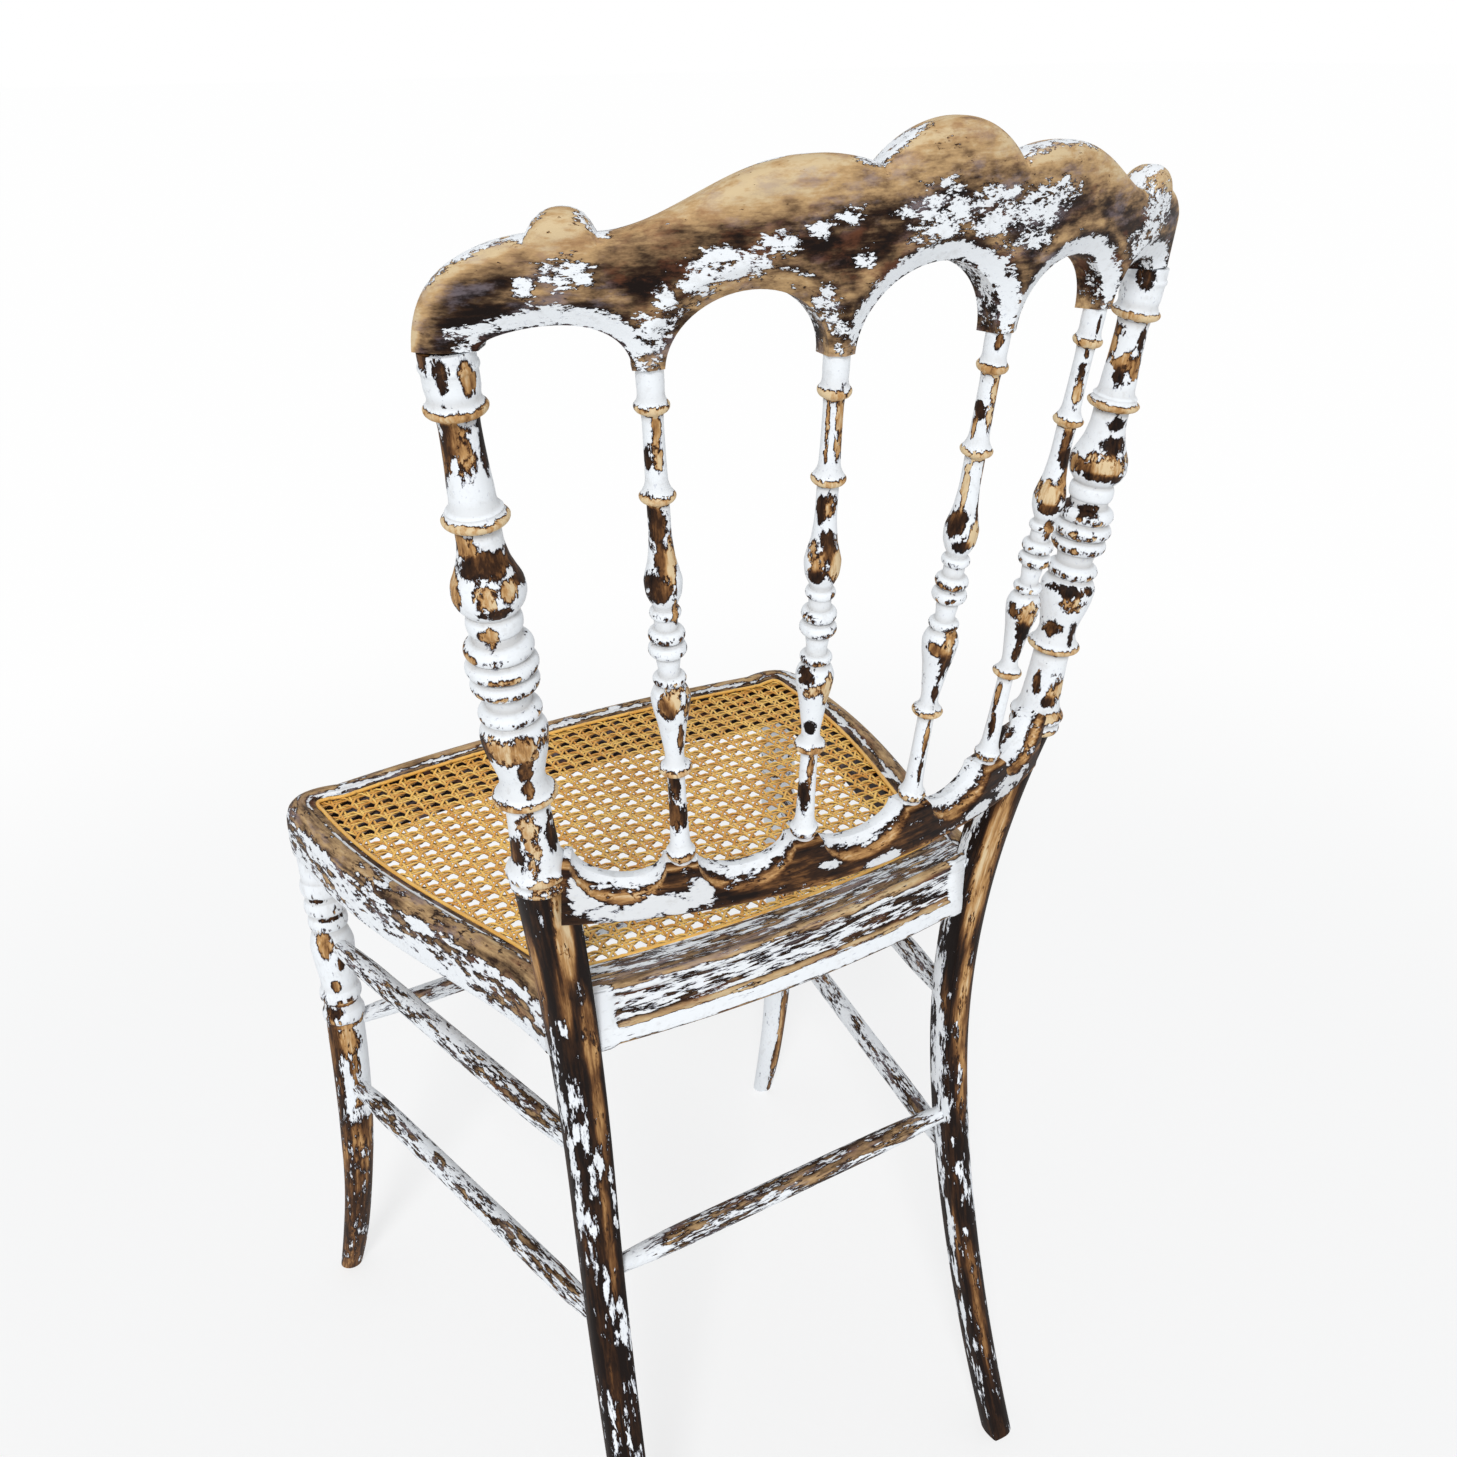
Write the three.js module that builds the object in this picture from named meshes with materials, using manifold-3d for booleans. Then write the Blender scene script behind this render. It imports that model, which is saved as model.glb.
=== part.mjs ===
// A painted side chair with a turned spindle back, a caned seat and sabre legs.
// Millimetres, +Z up. The chair faces -Y, and +X is the sitter's left.

import * as THREE from 'three';
import { mergeGeometries, mergeVertices } from 'three/addons/utils/BufferGeometryUtils.js';
import Module from 'manifold-3d';

const wasm = await Module();
wasm.setup();

// Fits
const GAP = 0.3; // clearance between a tenon and its socket, and between faces that meet
const TENON_DEPTH = 9; // how far a rail or stretcher enters a leg
const RAIL_TENON_RADIUS = 4.5;

// Back: posts and spindles stand on a low arc and fan out to a high arc
const LOW_Z = 553;
const LOW_Y = 44;
const LOW_RADIUS = 280;
const HIGH_Z = 776;
const HIGH_Y = 90;
const HIGH_RADIUS = 295;
const POST_LOW_X = 150.8;
const POST_HIGH_X = 174.8;
const INNER_SPINDLE_LOW_X = 32;
const INNER_SPINDLE_HIGH_X = 40;
const OUTER_SPINDLE_LOW_X = 91.5;
const OUTER_SPINDLE_HIGH_X = 111;
const DRAWN_SPAN = 223; // ring to ring height for which the turnings below are drawn

// Turned pieces
const POST_TENON_RADIUS = 5;
const POST_TENON_LENGTH = 8;
const SPINDLE_TENON_RADIUS = 3;
const SPINDLE_TENON_LENGTH = 14;
const POST_SIDES = 10;
const SPINDLE_SIDES = 6;
const LEG_SIDES = 8;
const ROD_SIDES = 6;

// Crest rail, with heights above the high arc
const CREST_THICKNESS = 20;
const CREST_END_X = 185.5;
const CREST_END_WIDTH = 24;
const CREST_END_RISE = 22;
const CREST_END_HEIGHT = 10;
const CREST_END_ROUND = 9; // length over which the ends thin out
const CREST_END_THICKNESS = 13;
const SHOULDER_RISE = 63.5;
const SHOULDER_WIDTH = 38;
const DROP_RISE = 13;
const DROP_HALF_WIDTH = 5.6;
const DROP_THICKNESS = 12;
const OUTER_ARCH_RISE = 31;
const MIDDLE_ARCH_RISE = 41;
const CENTRE_ARCH_RISE = 46;
const PEAK_RISE = 98.5;
const NOTCH_RISE = 83.3;
const NOTCH_X = 32;
const HUMP_RISE = 87.5;
const HUMP_X = 55;
const EAR_X = 141.5;
const EAR_HALF_WIDTH = 10;
const EAR_RISE = 72.3;
const EAR_HEIGHT = 9;
const TOP_ROUND = 6;
const ARCH_BEVEL = 8.5;
const CREST_STEP = 10.5; // spacing of the stations the curves are drawn through

// Lower back rail
const LOWER_RAIL_THICKNESS = 18;
const LOWER_RAIL_FOOT = 32; // from the low arc down to its underside
const SCALLOP_DIP = 12;
const LAND_HALF_WIDTH = 7;
const LAND_DROP = 1.5; // lands lie this far under the low arc
const RAIL_HORN = 8; // rise of the scallop's end beside the post
const SCALLOP_BEVEL = 7;

// Seat frame
const SEAT_Z = 450;
const RAIL_DEPTH = 32; // from the cane down to the rails' underside
const SIDE_TENON_DROP = 10; // from the cane down to each tenon
const REAR_TENON_DROP = 23;
const RAIL_WIDTH = 24;
const RAIL_CROWN = 4.5; // crown of the rails above the cane
const LEDGE_WIDTH = 5;
const LEDGE_DROP = 3;
const REAR_RAIL_WIDTH = 38;
const REAR_LEDGE_WIDTH = 6;
const REAR_RIDGE = 6; // ridge above the cane
const REAR_RAIL_Y = -33;
const REAR_RAIL_BOW = 13;
const FILLET_HEIGHT = 12;
const FILLET_PROUD = 2.5;
const CORNER_X = 175;
const CORNER_Y = -333;
const FRONT_BOW = 15;
const SIDE_FRONT_PULL = new THREE.Vector2(194, -205);
const SIDE_REAR_PULL = new THREE.Vector2(135, -118);
const RAIL_STEPS = 8; // straight lengths that make up each curved rail

// Cane
const CANE_THICKNESS = 2.2;
const CANE_PITCH = 36;
const CANE_HOLE = 14;
const CANE_MARGIN = 9;
const STRAND_WIDTH = 5;
const STRAND_HEIGHT = 0.6;
const BINDER_WIDTH = 3.6;
const BINDER_HEIGHT = 1.4;

// Rear legs, in one piece with the posts
const REAR_WAIST_Z = 310;
const REAR_WAIST_X = 126;
const REAR_WAIST_Y = -40.5;
const REAR_FOOT_X = 137;
const REAR_FOOT_Y = 9;
const REAR_TOP_HALF = 13;
const REAR_WAIST_HALF = 11.2;
const REAR_FOOT_HALF = 9.4;
const FRONT_BLUNTNESS = 0.55; // how square the rear leg's front corners are
const INNER_BLUNTNESS = 0.75; // how square its inner back corner is

// Front legs
const FRONT_LEG_X = 179.3;
const FRONT_LEG_Y = -337.5;
const FRONT_FOOT_X = 194.2;
const FRONT_FOOT_Y = -411.8;
const KNEE_Z = 343; // the leg is straight above this height
const SWEEP = 2.2; // how soon the leg bends below the knee
const LEG_TENON_RADIUS = 5;
const LEG_TENON_LENGTH = 28;

// Stretchers
const STRETCHER_RADIUS = 7.2;
const STRETCHER_END_RADIUS = 5.6;
const SIDE_UPPER_Z = 342;
const SIDE_LOWER_Z = 219;
const FRONT_STRETCHER_Z = 274;
const REAR_STRETCHER_Z = 257;

// Finishes
const paint = new THREE.MeshStandardMaterial({ color: 0xdfe6ee, roughness: 0.55, metalness: 0 });
const stripped = new THREE.MeshStandardMaterial({ color: 0x6b4a2c, roughness: 0.65, metalness: 0 });
const straw = new THREE.MeshStandardMaterial({ color: 0xd79a3c, roughness: 0.6, metalness: 0 });

// Solids from geometries

// Signed volume of an indexed triangle mesh, positive when its faces point out
function signedVolume(points, triangles) {
  const corner = (k) => new THREE.Vector3().fromArray(points, 3 * k);
  let total = 0;
  for (let i = 0; i < triangles.length; i += 3) {
    const [a, b, c] = [0, 1, 2].map((k) => corner(triangles[i + k]));
    total += a.dot(b.cross(c)) / 6;
  }
  return total;
}

// A closed solid from a geometry, with its faces turned to point out
function solidOf(geometry) {
  const bare = geometry.clone();
  bare.deleteAttribute('normal');
  bare.deleteAttribute('uv');
  const merged = mergeVertices(bare, 1e-4);
  const vertProperties = Float32Array.from(merged.attributes.position.array);
  const triVerts = Uint32Array.from(merged.index.array);
  if (signedVolume(vertProperties, triVerts) < 0) {
    triVerts.reverse();
  }
  return new wasm.Manifold(new wasm.Mesh({ numProp: 3, vertProperties, triVerts }));
}

function meshOf(name, solid, material) {
  const { vertProperties, triVerts } = solid.getMesh();
  const geometry = new THREE.BufferGeometry();
  geometry.setAttribute('position', new THREE.BufferAttribute(vertProperties, 3));
  geometry.setIndex(new THREE.BufferAttribute(triVerts, 1));
  geometry.computeVertexNormals();
  const mesh = new THREE.Mesh(geometry, material);
  mesh.name = name;
  return mesh;
}

// Moves every vertex of a geometry to place(vertex)
function reshape(geometry, place) {
  const position = geometry.attributes.position;
  const vertex = new THREE.Vector3();
  for (let i = 0; i < position.count; i += 1) {
    vertex.fromBufferAttribute(position, i);
    const moved = place(vertex);
    position.setXYZ(i, moved.x, moved.y, moved.z);
  }
  return geometry;
}

// Stands a geometry drawn along +Z on the line from one point towards another
function alongLine(geometry, from, to) {
  const direction = new THREE.Vector3().subVectors(to, from).normalize();
  const turn = new THREE.Quaternion().setFromUnitVectors(new THREE.Vector3(0, 0, 1), direction);
  return geometry.applyQuaternion(turn).translate(from.x, from.y, from.z);
}

// Lathe work along +Z from [height, radius] stations, first to last going up
function turning(stations, sides, grow = 0) {
  const last = stations.length - 1;
  const points = stations.map(([height, radius], i) => {
    const end = i <= 1 ? -grow : i >= last - 1 ? grow : 0;
    return new THREE.Vector2(radius > 0 ? radius + grow : 0, height + end);
  });
  return new THREE.LatheGeometry(points, sides).rotateX(Math.PI / 2);
}

// A round rod between two points
function rod(from, to, radius, grow = 0) {
  const length = from.distanceTo(to);
  const stations = [[0, 0], [0, radius], [length, radius], [length, 0]];
  return solidOf(alongLine(turning(stations, ROD_SIDES, grow), from, to));
}

// Half-round moulding on a turning
function ring(at, radius, height, root) {
  const half = height / 2;
  return [
    [at - half, root],
    [at, radius],
    [at + half, root],
  ];
}

const mirrored = (geometry) => geometry.clone().scale(-1, 1, 1);
const mirroredPoint = (point) => new THREE.Vector3(-point.x, point.y, point.z);

// The back's curved and leaning surface

const share = (z) => (z - LOW_Z) / (HIGH_Z - LOW_Z);

function backPoint(x, z) {
  const radius = THREE.MathUtils.lerp(LOW_RADIUS, HIGH_RADIUS, share(z));
  const crown = THREE.MathUtils.lerp(LOW_Y, HIGH_Y, share(z));
  return new THREE.Vector3(x, crown - radius + Math.sqrt(radius * radius - x * x), z);
}

// A point on the back's surface, moved backwards by depth along the arc's radius
function onBack(x, z, depth) {
  const radius = THREE.MathUtils.lerp(LOW_RADIUS, HIGH_RADIUS, share(z));
  const angle = Math.asin(x / radius);
  const point = backPoint(x, z);
  return point.add(new THREE.Vector3(depth * Math.sin(angle), depth * Math.cos(angle), 0));
}

// Where an upright that runs from one x to another crosses a height
const uprightX = (lowX, highX, z) => THREE.MathUtils.lerp(lowX, highX, share(z));

// Lathe work that leans with the back, drawn in heights above the low ring
function leaning(stations, lowX, highX, sides, grow) {
  const low = backPoint(lowX, LOW_Z);
  const high = backPoint(highX, HIGH_Z);
  const stretch = low.distanceTo(high) / DRAWN_SPAN;
  const scaled = stations.map(([height, radius]) => [height * stretch, radius]);
  return alongLine(turning(scaled, sides, grow), low, high);
}

// Rear posts: turned above the seat, sabre legs below

const postShoulder = (CREST_END_RISE - GAP) * (DRAWN_SPAN / (HIGH_Z - LOW_Z)) + DRAWN_SPAN;

const postTurning = [
  [-9, 0],
  [-9, 12],
  ...ring(0, 15, 13, 12),
  [11, 11],
  [35, 10],
  ...ring(42.5, 14.5, 9, 10.2),
  [51, 10.2],
  [70, 14],
  [77, 14.5],
  [82, 12],
  ...ring(86.5, 13.4, 6, 10.8),
  [93, 9.8],
  ...ring(101.5, 14.5, 8, 11.4),
  ...ring(110, 15.3, 8, 11.6),
  ...ring(118.5, 14.5, 8, 11.4),
  [124.5, 10.2],
  ...ring(130.5, 11.4, 5, 10.4),
  [137, 13],
  [144.5, 15.2],
  [151, 13.6],
  [160, 10],
  [169, 9.2],
  ...ring(177.5, 13.5, 11, 9.2),
  [187, 9.2],
  [215, 8],
  ...ring(DRAWN_SPAN, 12.2, 10, 9.6),
  [postShoulder - 14, 10.9],
  [postShoulder, 10.9],
  [postShoulder, POST_TENON_RADIUS],
  [postShoulder + POST_TENON_LENGTH, POST_TENON_RADIUS],
  [postShoulder + POST_TENON_LENGTH, 0],
];

// Centre of the left rear leg at a height
function rearLegCentre(z) {
  const top = backPoint(POST_LOW_X, LOW_Z);
  const above = z > REAR_WAIST_Z;
  const run = above ? LOW_Z - REAR_WAIST_Z : REAR_WAIST_Z;
  const bend = (Math.abs(z - REAR_WAIST_Z) / run) ** (above ? 2 : 1.8);
  const x = THREE.MathUtils.lerp(REAR_WAIST_X, above ? top.x : REAR_FOOT_X, bend);
  const y = THREE.MathUtils.lerp(REAR_WAIST_Y, above ? top.y : REAR_FOOT_Y, bend);
  return new THREE.Vector3(x, y, z);
}

function rearLegHalf(z) {
  if (z > REAR_WAIST_Z) {
    const up = (z - REAR_WAIST_Z) / (LOW_Z - REAR_WAIST_Z);
    return THREE.MathUtils.lerp(REAR_WAIST_HALF, REAR_TOP_HALF, up);
  }
  return THREE.MathUtils.lerp(REAR_FOOT_HALF, REAR_WAIST_HALF, z / REAR_WAIST_Z);
}

// A leg of rounded outer back and squarer front and inner side, swept up the rear leg's curve
function rearLeg(grow) {
  const height = LOW_Z - 4;
  const upright = new THREE.CylinderGeometry(1, 1, height, POST_SIDES, 9);
  upright.rotateX(Math.PI / 2);
  return reshape(upright, ({ x, y, z }) => {
    const level = z + height / 2;
    const half = rearLegHalf(level) + grow;
    const bluntness = y < 0 ? FRONT_BLUNTNESS : INNER_BLUNTNESS;
    const flat = y < 0 || x < 0 ? Math.max(Math.abs(x), Math.abs(y)) ** bluntness : 1;
    const reach = Math.hypot(x, y) > 0.5 ? half / flat : 0;
    const foot = level < 1 ? -grow : 0;
    return rearLegCentre(level).add(new THREE.Vector3(x * reach, y * reach, foot));
  });
}

function rearPost(grow = 0) {
  const turned = leaning(postTurning, POST_LOW_X, POST_HIGH_X, POST_SIDES, grow);
  return { turned, leg: rearLeg(grow) };
}

function postSolid(side, grow = 0) {
  const { turned, leg } = rearPost(grow);
  const hand = side > 0 ? (geometry) => geometry : mirrored;
  return solidOf(hand(turned)).add(solidOf(hand(leg)));
}

// Spindles

const spindleShoulder = (DROP_RISE - GAP) * (DRAWN_SPAN / (HIGH_Z - LOW_Z)) + DRAWN_SPAN;

const spindleTurning = [
  [-LAND_DROP - SPINDLE_TENON_LENGTH, 0],
  [-LAND_DROP - SPINDLE_TENON_LENGTH, SPINDLE_TENON_RADIUS],
  [-LAND_DROP - 1, SPINDLE_TENON_RADIUS],
  [-LAND_DROP - 1, 5.4],
  ...ring(2.5, 6.6, 7, 5.2),
  [12, 4.4],
  [45, 4],
  ...ring(51, 7.4, 6.5, 4.6),
  [57, 4.3],
  [76, 6.4],
  [89, 8.6],
  [94, 7],
  ...ring(98.5, 7, 4.5, 5.4),
  [103.5, 4.6],
  ...ring(114, 8, 6.5, 5.2),
  ...ring(121, 7.6, 6, 5.2),
  [127, 4.8],
  ...ring(131.5, 6.2, 4, 4.9),
  [139, 7.2],
  [146, 7.8],
  [155, 6],
  [170, 4.6],
  ...ring(184, 7.2, 6, 4.6),
  [214, 4.2],
  ...ring(DRAWN_SPAN - 1.5, 6.8, 7, 4.6),
  [spindleShoulder - 5, 5.4],
  [spindleShoulder, 5.4],
  [spindleShoulder, SPINDLE_TENON_RADIUS],
  [spindleShoulder + SPINDLE_TENON_LENGTH, SPINDLE_TENON_RADIUS],
  [spindleShoulder + SPINDLE_TENON_LENGTH, 0],
];

const spindlePlaces = [
  [OUTER_SPINDLE_LOW_X, OUTER_SPINDLE_HIGH_X],
  [INNER_SPINDLE_LOW_X, INNER_SPINDLE_HIGH_X],
  [-INNER_SPINDLE_LOW_X, -INNER_SPINDLE_HIGH_X],
  [-OUTER_SPINDLE_LOW_X, -OUTER_SPINDLE_HIGH_X],
];

function spindleSolid([lowX, highX], grow = 0) {
  return solidOf(leaning(spindleTurning, lowX, highX, SPINDLE_SIDES, grow));
}

// Rails bent to the back

// Stations from end to end through the given positive keys, closer near each key
function stationsThrough(keys, spacing) {
  const half = [keys[0]];
  for (let i = 1; i < keys.length; i += 1) {
    const [from, to] = [keys[i - 1], keys[i]];
    const count = Math.max(1, Math.round((to - from) / spacing));
    for (let k = 1; k <= count; k += 1) {
      half.push(from + (to - from) * (0.5 - 0.5 * Math.cos((Math.PI * k) / count)));
    }
  }
  return [...half.slice(1).reverse().map((x) => -x), ...half];
}

// Keys in rising order, without those that nearly repeat the one before
function tidyKeys(keys) {
  const sorted = [...keys].sort((a, b) => a - b);
  return sorted.filter((key, i) => i === 0 || key - sorted[i - 1] > 1);
}

// A rail of varying height bent to the back's surface. section(x) gives the heights of its
// edges, crown and shoulders along the top, keel and chines along the underside, and the
// thickness of its body and its underside.
function bentRail(stations, section) {
  const steps = stations.length - 1;
  const bar = new THREE.BoxGeometry(steps, 2, 2, steps, 2, 2);
  return reshape(bar, ({ x, y, z }) => {
    const at = stations[Math.round(x + steps / 2)];
    const { crown, frontTop, backTop, keel, frontLow, backLow, body, sole } = section(at);
    const edge = (front, middle, back) => (z < -0.5 ? front : z > 0.5 ? back : middle);
    const high = edge(frontTop, crown, backTop);
    const low = edge(frontLow, keel, backLow);
    const up = (y + 1) / 2;
    const depth = THREE.MathUtils.lerp(sole, body, Math.min(1, 2 * up)) / 2;
    return onBack(at, THREE.MathUtils.lerp(low, high, up), z * depth);
  });
}

// Half an ellipse over a span, from 0 at its ends to 1 at its middle
function halfEllipse(x, from, to) {
  const across = (2 * x - from - to) / (to - from);
  return Math.sqrt(Math.max(0, 1 - across * across));
}

// Crest rail

const innerDrop = uprightX(INNER_SPINDLE_LOW_X, INNER_SPINDLE_HIGH_X, HIGH_Z + DROP_RISE);
const outerDrop = uprightX(OUTER_SPINDLE_LOW_X, OUTER_SPINDLE_HIGH_X, HIGH_Z + DROP_RISE);
const crestInnerEnd = CREST_END_X - CREST_END_WIDTH;

const crestArches = [
  [DROP_HALF_WIDTH - innerDrop, innerDrop - DROP_HALF_WIDTH, CENTRE_ARCH_RISE],
  [innerDrop + DROP_HALF_WIDTH, outerDrop - DROP_HALF_WIDTH, MIDDLE_ARCH_RISE],
  [outerDrop + DROP_HALF_WIDTH, crestInnerEnd, OUTER_ARCH_RISE],
];

function crestTop(x) {
  const earStart = EAR_X - EAR_HALF_WIDTH;
  const earEnd = EAR_X + EAR_HALF_WIDTH;
  const rootRise = EAR_RISE - EAR_HEIGHT;
  if (x <= NOTCH_X) {
    const depth = PEAK_RISE - NOTCH_RISE;
    const radius = (NOTCH_X * NOTCH_X + depth * depth) / (2 * depth);
    return PEAK_RISE - radius + Math.sqrt(radius * radius - x * x);
  }
  if (x <= HUMP_X) {
    return HUMP_RISE - (HUMP_RISE - NOTCH_RISE) * ((HUMP_X - x) / (HUMP_X - NOTCH_X)) ** 2;
  }
  if (x <= earStart) {
    const along = ((x - HUMP_X) / (earStart - HUMP_X)) ** 1.2;
    return rootRise + ((HUMP_RISE - rootRise) * (1 + Math.cos(Math.PI * along))) / 2;
  }
  if (x <= earEnd) {
    return rootRise + EAR_HEIGHT * halfEllipse(x, earStart, earEnd);
  }
  const out = Math.min(1, Math.max(0, (x - (CREST_END_X - SHOULDER_WIDTH)) / SHOULDER_WIDTH));
  const base = CREST_END_RISE + CREST_END_HEIGHT;
  return base + (SHOULDER_RISE - base) * Math.sqrt(1 - out * out);
}

function crestUnderside(x) {
  const arch = crestArches.find(([from, to]) => x > from && x < to);
  const base = x >= crestInnerEnd ? CREST_END_RISE : DROP_RISE;
  if (!arch) {
    return base;
  }
  const [from, to, rise] = arch;
  const spring = to === crestInnerEnd
    ? THREE.MathUtils.lerp(DROP_RISE, CREST_END_RISE, (x - from) / (to - from))
    : DROP_RISE;
  return spring + (rise - spring) * halfEllipse(x, from, to);
}

function crestSection(x) {
  const reach = Math.abs(x);
  const top = HIGH_Z + crestTop(reach);
  const under = HIGH_Z + crestUnderside(reach);
  const round = Math.min(TOP_ROUND, (top - under) * 0.3);
  const arched = crestArches.some(([from, to]) => reach > from && reach < to);
  const bevel = arched ? Math.min(ARCH_BEVEL, (top - under) * 0.3) : 0;
  const out = THREE.MathUtils.clamp(1 - (CREST_END_X - reach) / CREST_END_ROUND, 0, 1);
  const body = THREE.MathUtils.lerp(CREST_THICKNESS, CREST_END_THICKNESS, out * out);
  const tip = THREE.MathUtils.clamp((under - HIGH_Z - DROP_RISE) / (CREST_END_RISE - DROP_RISE), 0, 1);
  return {
    crown: top,
    frontTop: top - round,
    backTop: top - round,
    keel: under,
    frontLow: under,
    backLow: under + bevel,
    body,
    sole: Math.min(body, THREE.MathUtils.lerp(DROP_THICKNESS, CREST_THICKNESS, tip)),
  };
}

function crestSolid() {
  const keys = tidyKeys([
    0,
    NOTCH_X,
    HUMP_X,
    ...[-1, -0.8, 0, 0.8, 1].map((k) => EAR_X + k * EAR_HALF_WIDTH),
    ...crestArches.flatMap(([from, to]) => [Math.max(0, from), to]),
    CREST_END_X - CREST_END_ROUND,
    CREST_END_X,
  ]);
  const bar = bentRail(stationsThrough(keys, CREST_STEP), crestSection);
  let solid = solidOf(bar);
  for (const place of spindlePlaces) {
    solid = solid.subtract(spindleSolid(place, GAP));
  }
  return solid.subtract(postSolid(1, GAP)).subtract(postSolid(-1, GAP));
}

// Lower back rail

const scallops = [
  [LAND_HALF_WIDTH - INNER_SPINDLE_LOW_X, INNER_SPINDLE_LOW_X - LAND_HALF_WIDTH],
  [INNER_SPINDLE_LOW_X + LAND_HALF_WIDTH, OUTER_SPINDLE_LOW_X - LAND_HALF_WIDTH],
  [OUTER_SPINDLE_LOW_X + LAND_HALF_WIDTH, POST_LOW_X - REAR_TOP_HALF],
];
const lowerRailTenonZ = LOW_Z - LOWER_RAIL_FOOT / 2;

function lowerRailSection(x) {
  const reach = Math.abs(x);
  const scallop = scallops.find(([from, to]) => reach > from && reach < to);
  const [hornFrom, hornTo] = scallops[2];
  const horn = RAIL_HORN * Math.min(1, Math.max(0, (reach - hornFrom) / (hornTo - hornFrom)));
  const dip = scallop ? SCALLOP_DIP * halfEllipse(reach, ...scallop) : 0;
  const top = LOW_Z - LAND_DROP + horn - dip;
  const under = LOW_Z - LOWER_RAIL_FOOT;
  const bevel = scallop ? SCALLOP_BEVEL : 1;
  return {
    crown: top,
    frontTop: top - 1,
    backTop: top - bevel,
    keel: under,
    frontLow: under + 1,
    backLow: under + 1,
    body: LOWER_RAIL_THICKNESS,
    sole: LOWER_RAIL_THICKNESS,
  };
}

// Round tenon from the left end of the lower rail into the post
function lowerRailTenon(grow) {
  const inside = rearLegCentre(lowerRailTenonZ);
  const start = backPoint(inside.x - REAR_TOP_HALF - 12, lowerRailTenonZ);
  const end = start.clone().lerp(inside, (12 + TENON_DEPTH) / start.distanceTo(inside));
  return [start, end, RAIL_TENON_RADIUS, grow];
}

function lowerRailSolid() {
  const ends = rearLegCentre(lowerRailTenonZ).x - REAR_TOP_HALF / 2;
  const keys = tidyKeys([0, ...scallops.flatMap(([from, to]) => [Math.max(0, from), to]), ends]);
  const bar = bentRail(stationsThrough(keys, CREST_STEP), lowerRailSection);
  let solid = solidOf(bar);
  for (const place of spindlePlaces) {
    solid = solid.subtract(spindleSolid(place, GAP));
  }
  return tenoned(solid, lowerRailTenon(0));
}

// A rail cut to fit both posts, with its round tenon added at each end
function tenoned(solid, [from, to, radius]) {
  const coped = solid.subtract(postSolid(1, GAP)).subtract(postSolid(-1, GAP));
  return coped.add(rod(from, to, radius)).add(rod(mirroredPoint(from), mirroredPoint(to), radius));
}

// Seat frame

const flatPoint = (x, y) => new THREE.Vector3(x, y, 0);
const railBottomZ = SEAT_Z - RAIL_DEPTH;
const postAtSeat = rearLegCentre(SEAT_Z - SIDE_TENON_DROP);

// Centre line of the left side rail, from past the front corner to the rear post
const sidePath = new THREE.CubicBezierCurve3(
  flatPoint(CORNER_X, CORNER_Y - 40),
  flatPoint(SIDE_FRONT_PULL.x, SIDE_FRONT_PULL.y),
  flatPoint(SIDE_REAR_PULL.x, SIDE_REAR_PULL.y),
  flatPoint(postAtSeat.x, postAtSeat.y - REAR_TOP_HALF / 2),
);

// Centre line of the front rail, bowed forward, from past one corner to past the other
const frontReach = CORNER_X + 30;
const frontEndY = CORNER_Y - FRONT_BOW + FRONT_BOW * (frontReach / CORNER_X) ** 2;
const frontPath = new THREE.QuadraticBezierCurve3(
  flatPoint(-frontReach, frontEndY),
  flatPoint(0, 2 * (CORNER_Y - FRONT_BOW) - frontEndY),
  flatPoint(frontReach, frontEndY),
);

// Centre line of the rear rail, bowed backwards between the posts
const rearPath = new THREE.QuadraticBezierCurve3(
  flatPoint(postAtSeat.x, REAR_RAIL_Y - REAR_RAIL_BOW),
  flatPoint(0, REAR_RAIL_Y + REAR_RAIL_BOW),
  flatPoint(-postAtSeat.x, REAR_RAIL_Y - REAR_RAIL_BOW),
);

// Rail section from [outward, height] points, swept along a level path with outward on the right
function railSweep(points, path, steps) {
  const outline = new THREE.Shape(points.map(([out, z]) => new THREE.Vector2(-z, -out)));
  return new THREE.ExtrudeGeometry(outline, { extrudePath: path, steps, bevelEnabled: false });
}

const ledgeZ = SEAT_Z - LEDGE_DROP;
const crownZ = SEAT_Z + RAIL_CROWN;
const railHalf = RAIL_WIDTH / 2;
const ledgeEdge = LEDGE_WIDTH - railHalf;

const railProfile = [
  [-railHalf, railBottomZ],
  [railHalf - 3, railBottomZ],
  [railHalf, railBottomZ + 4],
  [railHalf, crownZ - 14],
  [railHalf - 1.5, crownZ - 5],
  [railHalf - 5.5, crownZ - 0.6],
  [ledgeEdge + 5, crownZ],
  [ledgeEdge + 2.6, crownZ - 2],
  [ledgeEdge, crownZ - 2],
  [ledgeEdge, ledgeZ],
  [-railHalf, ledgeZ],
];

const rearHalf = REAR_RAIL_WIDTH / 2;
const rearFace = rearHalf - FILLET_PROUD;
const rearLedgeEdge = REAR_LEDGE_WIDTH - rearHalf;
const ridgeZ = SEAT_Z + REAR_RIDGE;

const rearRailProfile = [
  [-rearHalf, railBottomZ],
  [rearHalf - 3, railBottomZ],
  [rearHalf, railBottomZ + 2],
  [rearHalf, railBottomZ + FILLET_HEIGHT],
  [rearFace, railBottomZ + FILLET_HEIGHT + 2],
  [rearFace, ridgeZ - 8],
  [rearFace + 2, ridgeZ - 5],
  [rearFace + 1, ridgeZ - 0.6],
  [rearFace - 3, ridgeZ],
  [rearFace - 6, ridgeZ - 2.4],
  [rearLedgeEdge, SEAT_Z + 1.5],
  [rearLedgeEdge, ledgeZ],
  [-rearHalf, ledgeZ],
];

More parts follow.
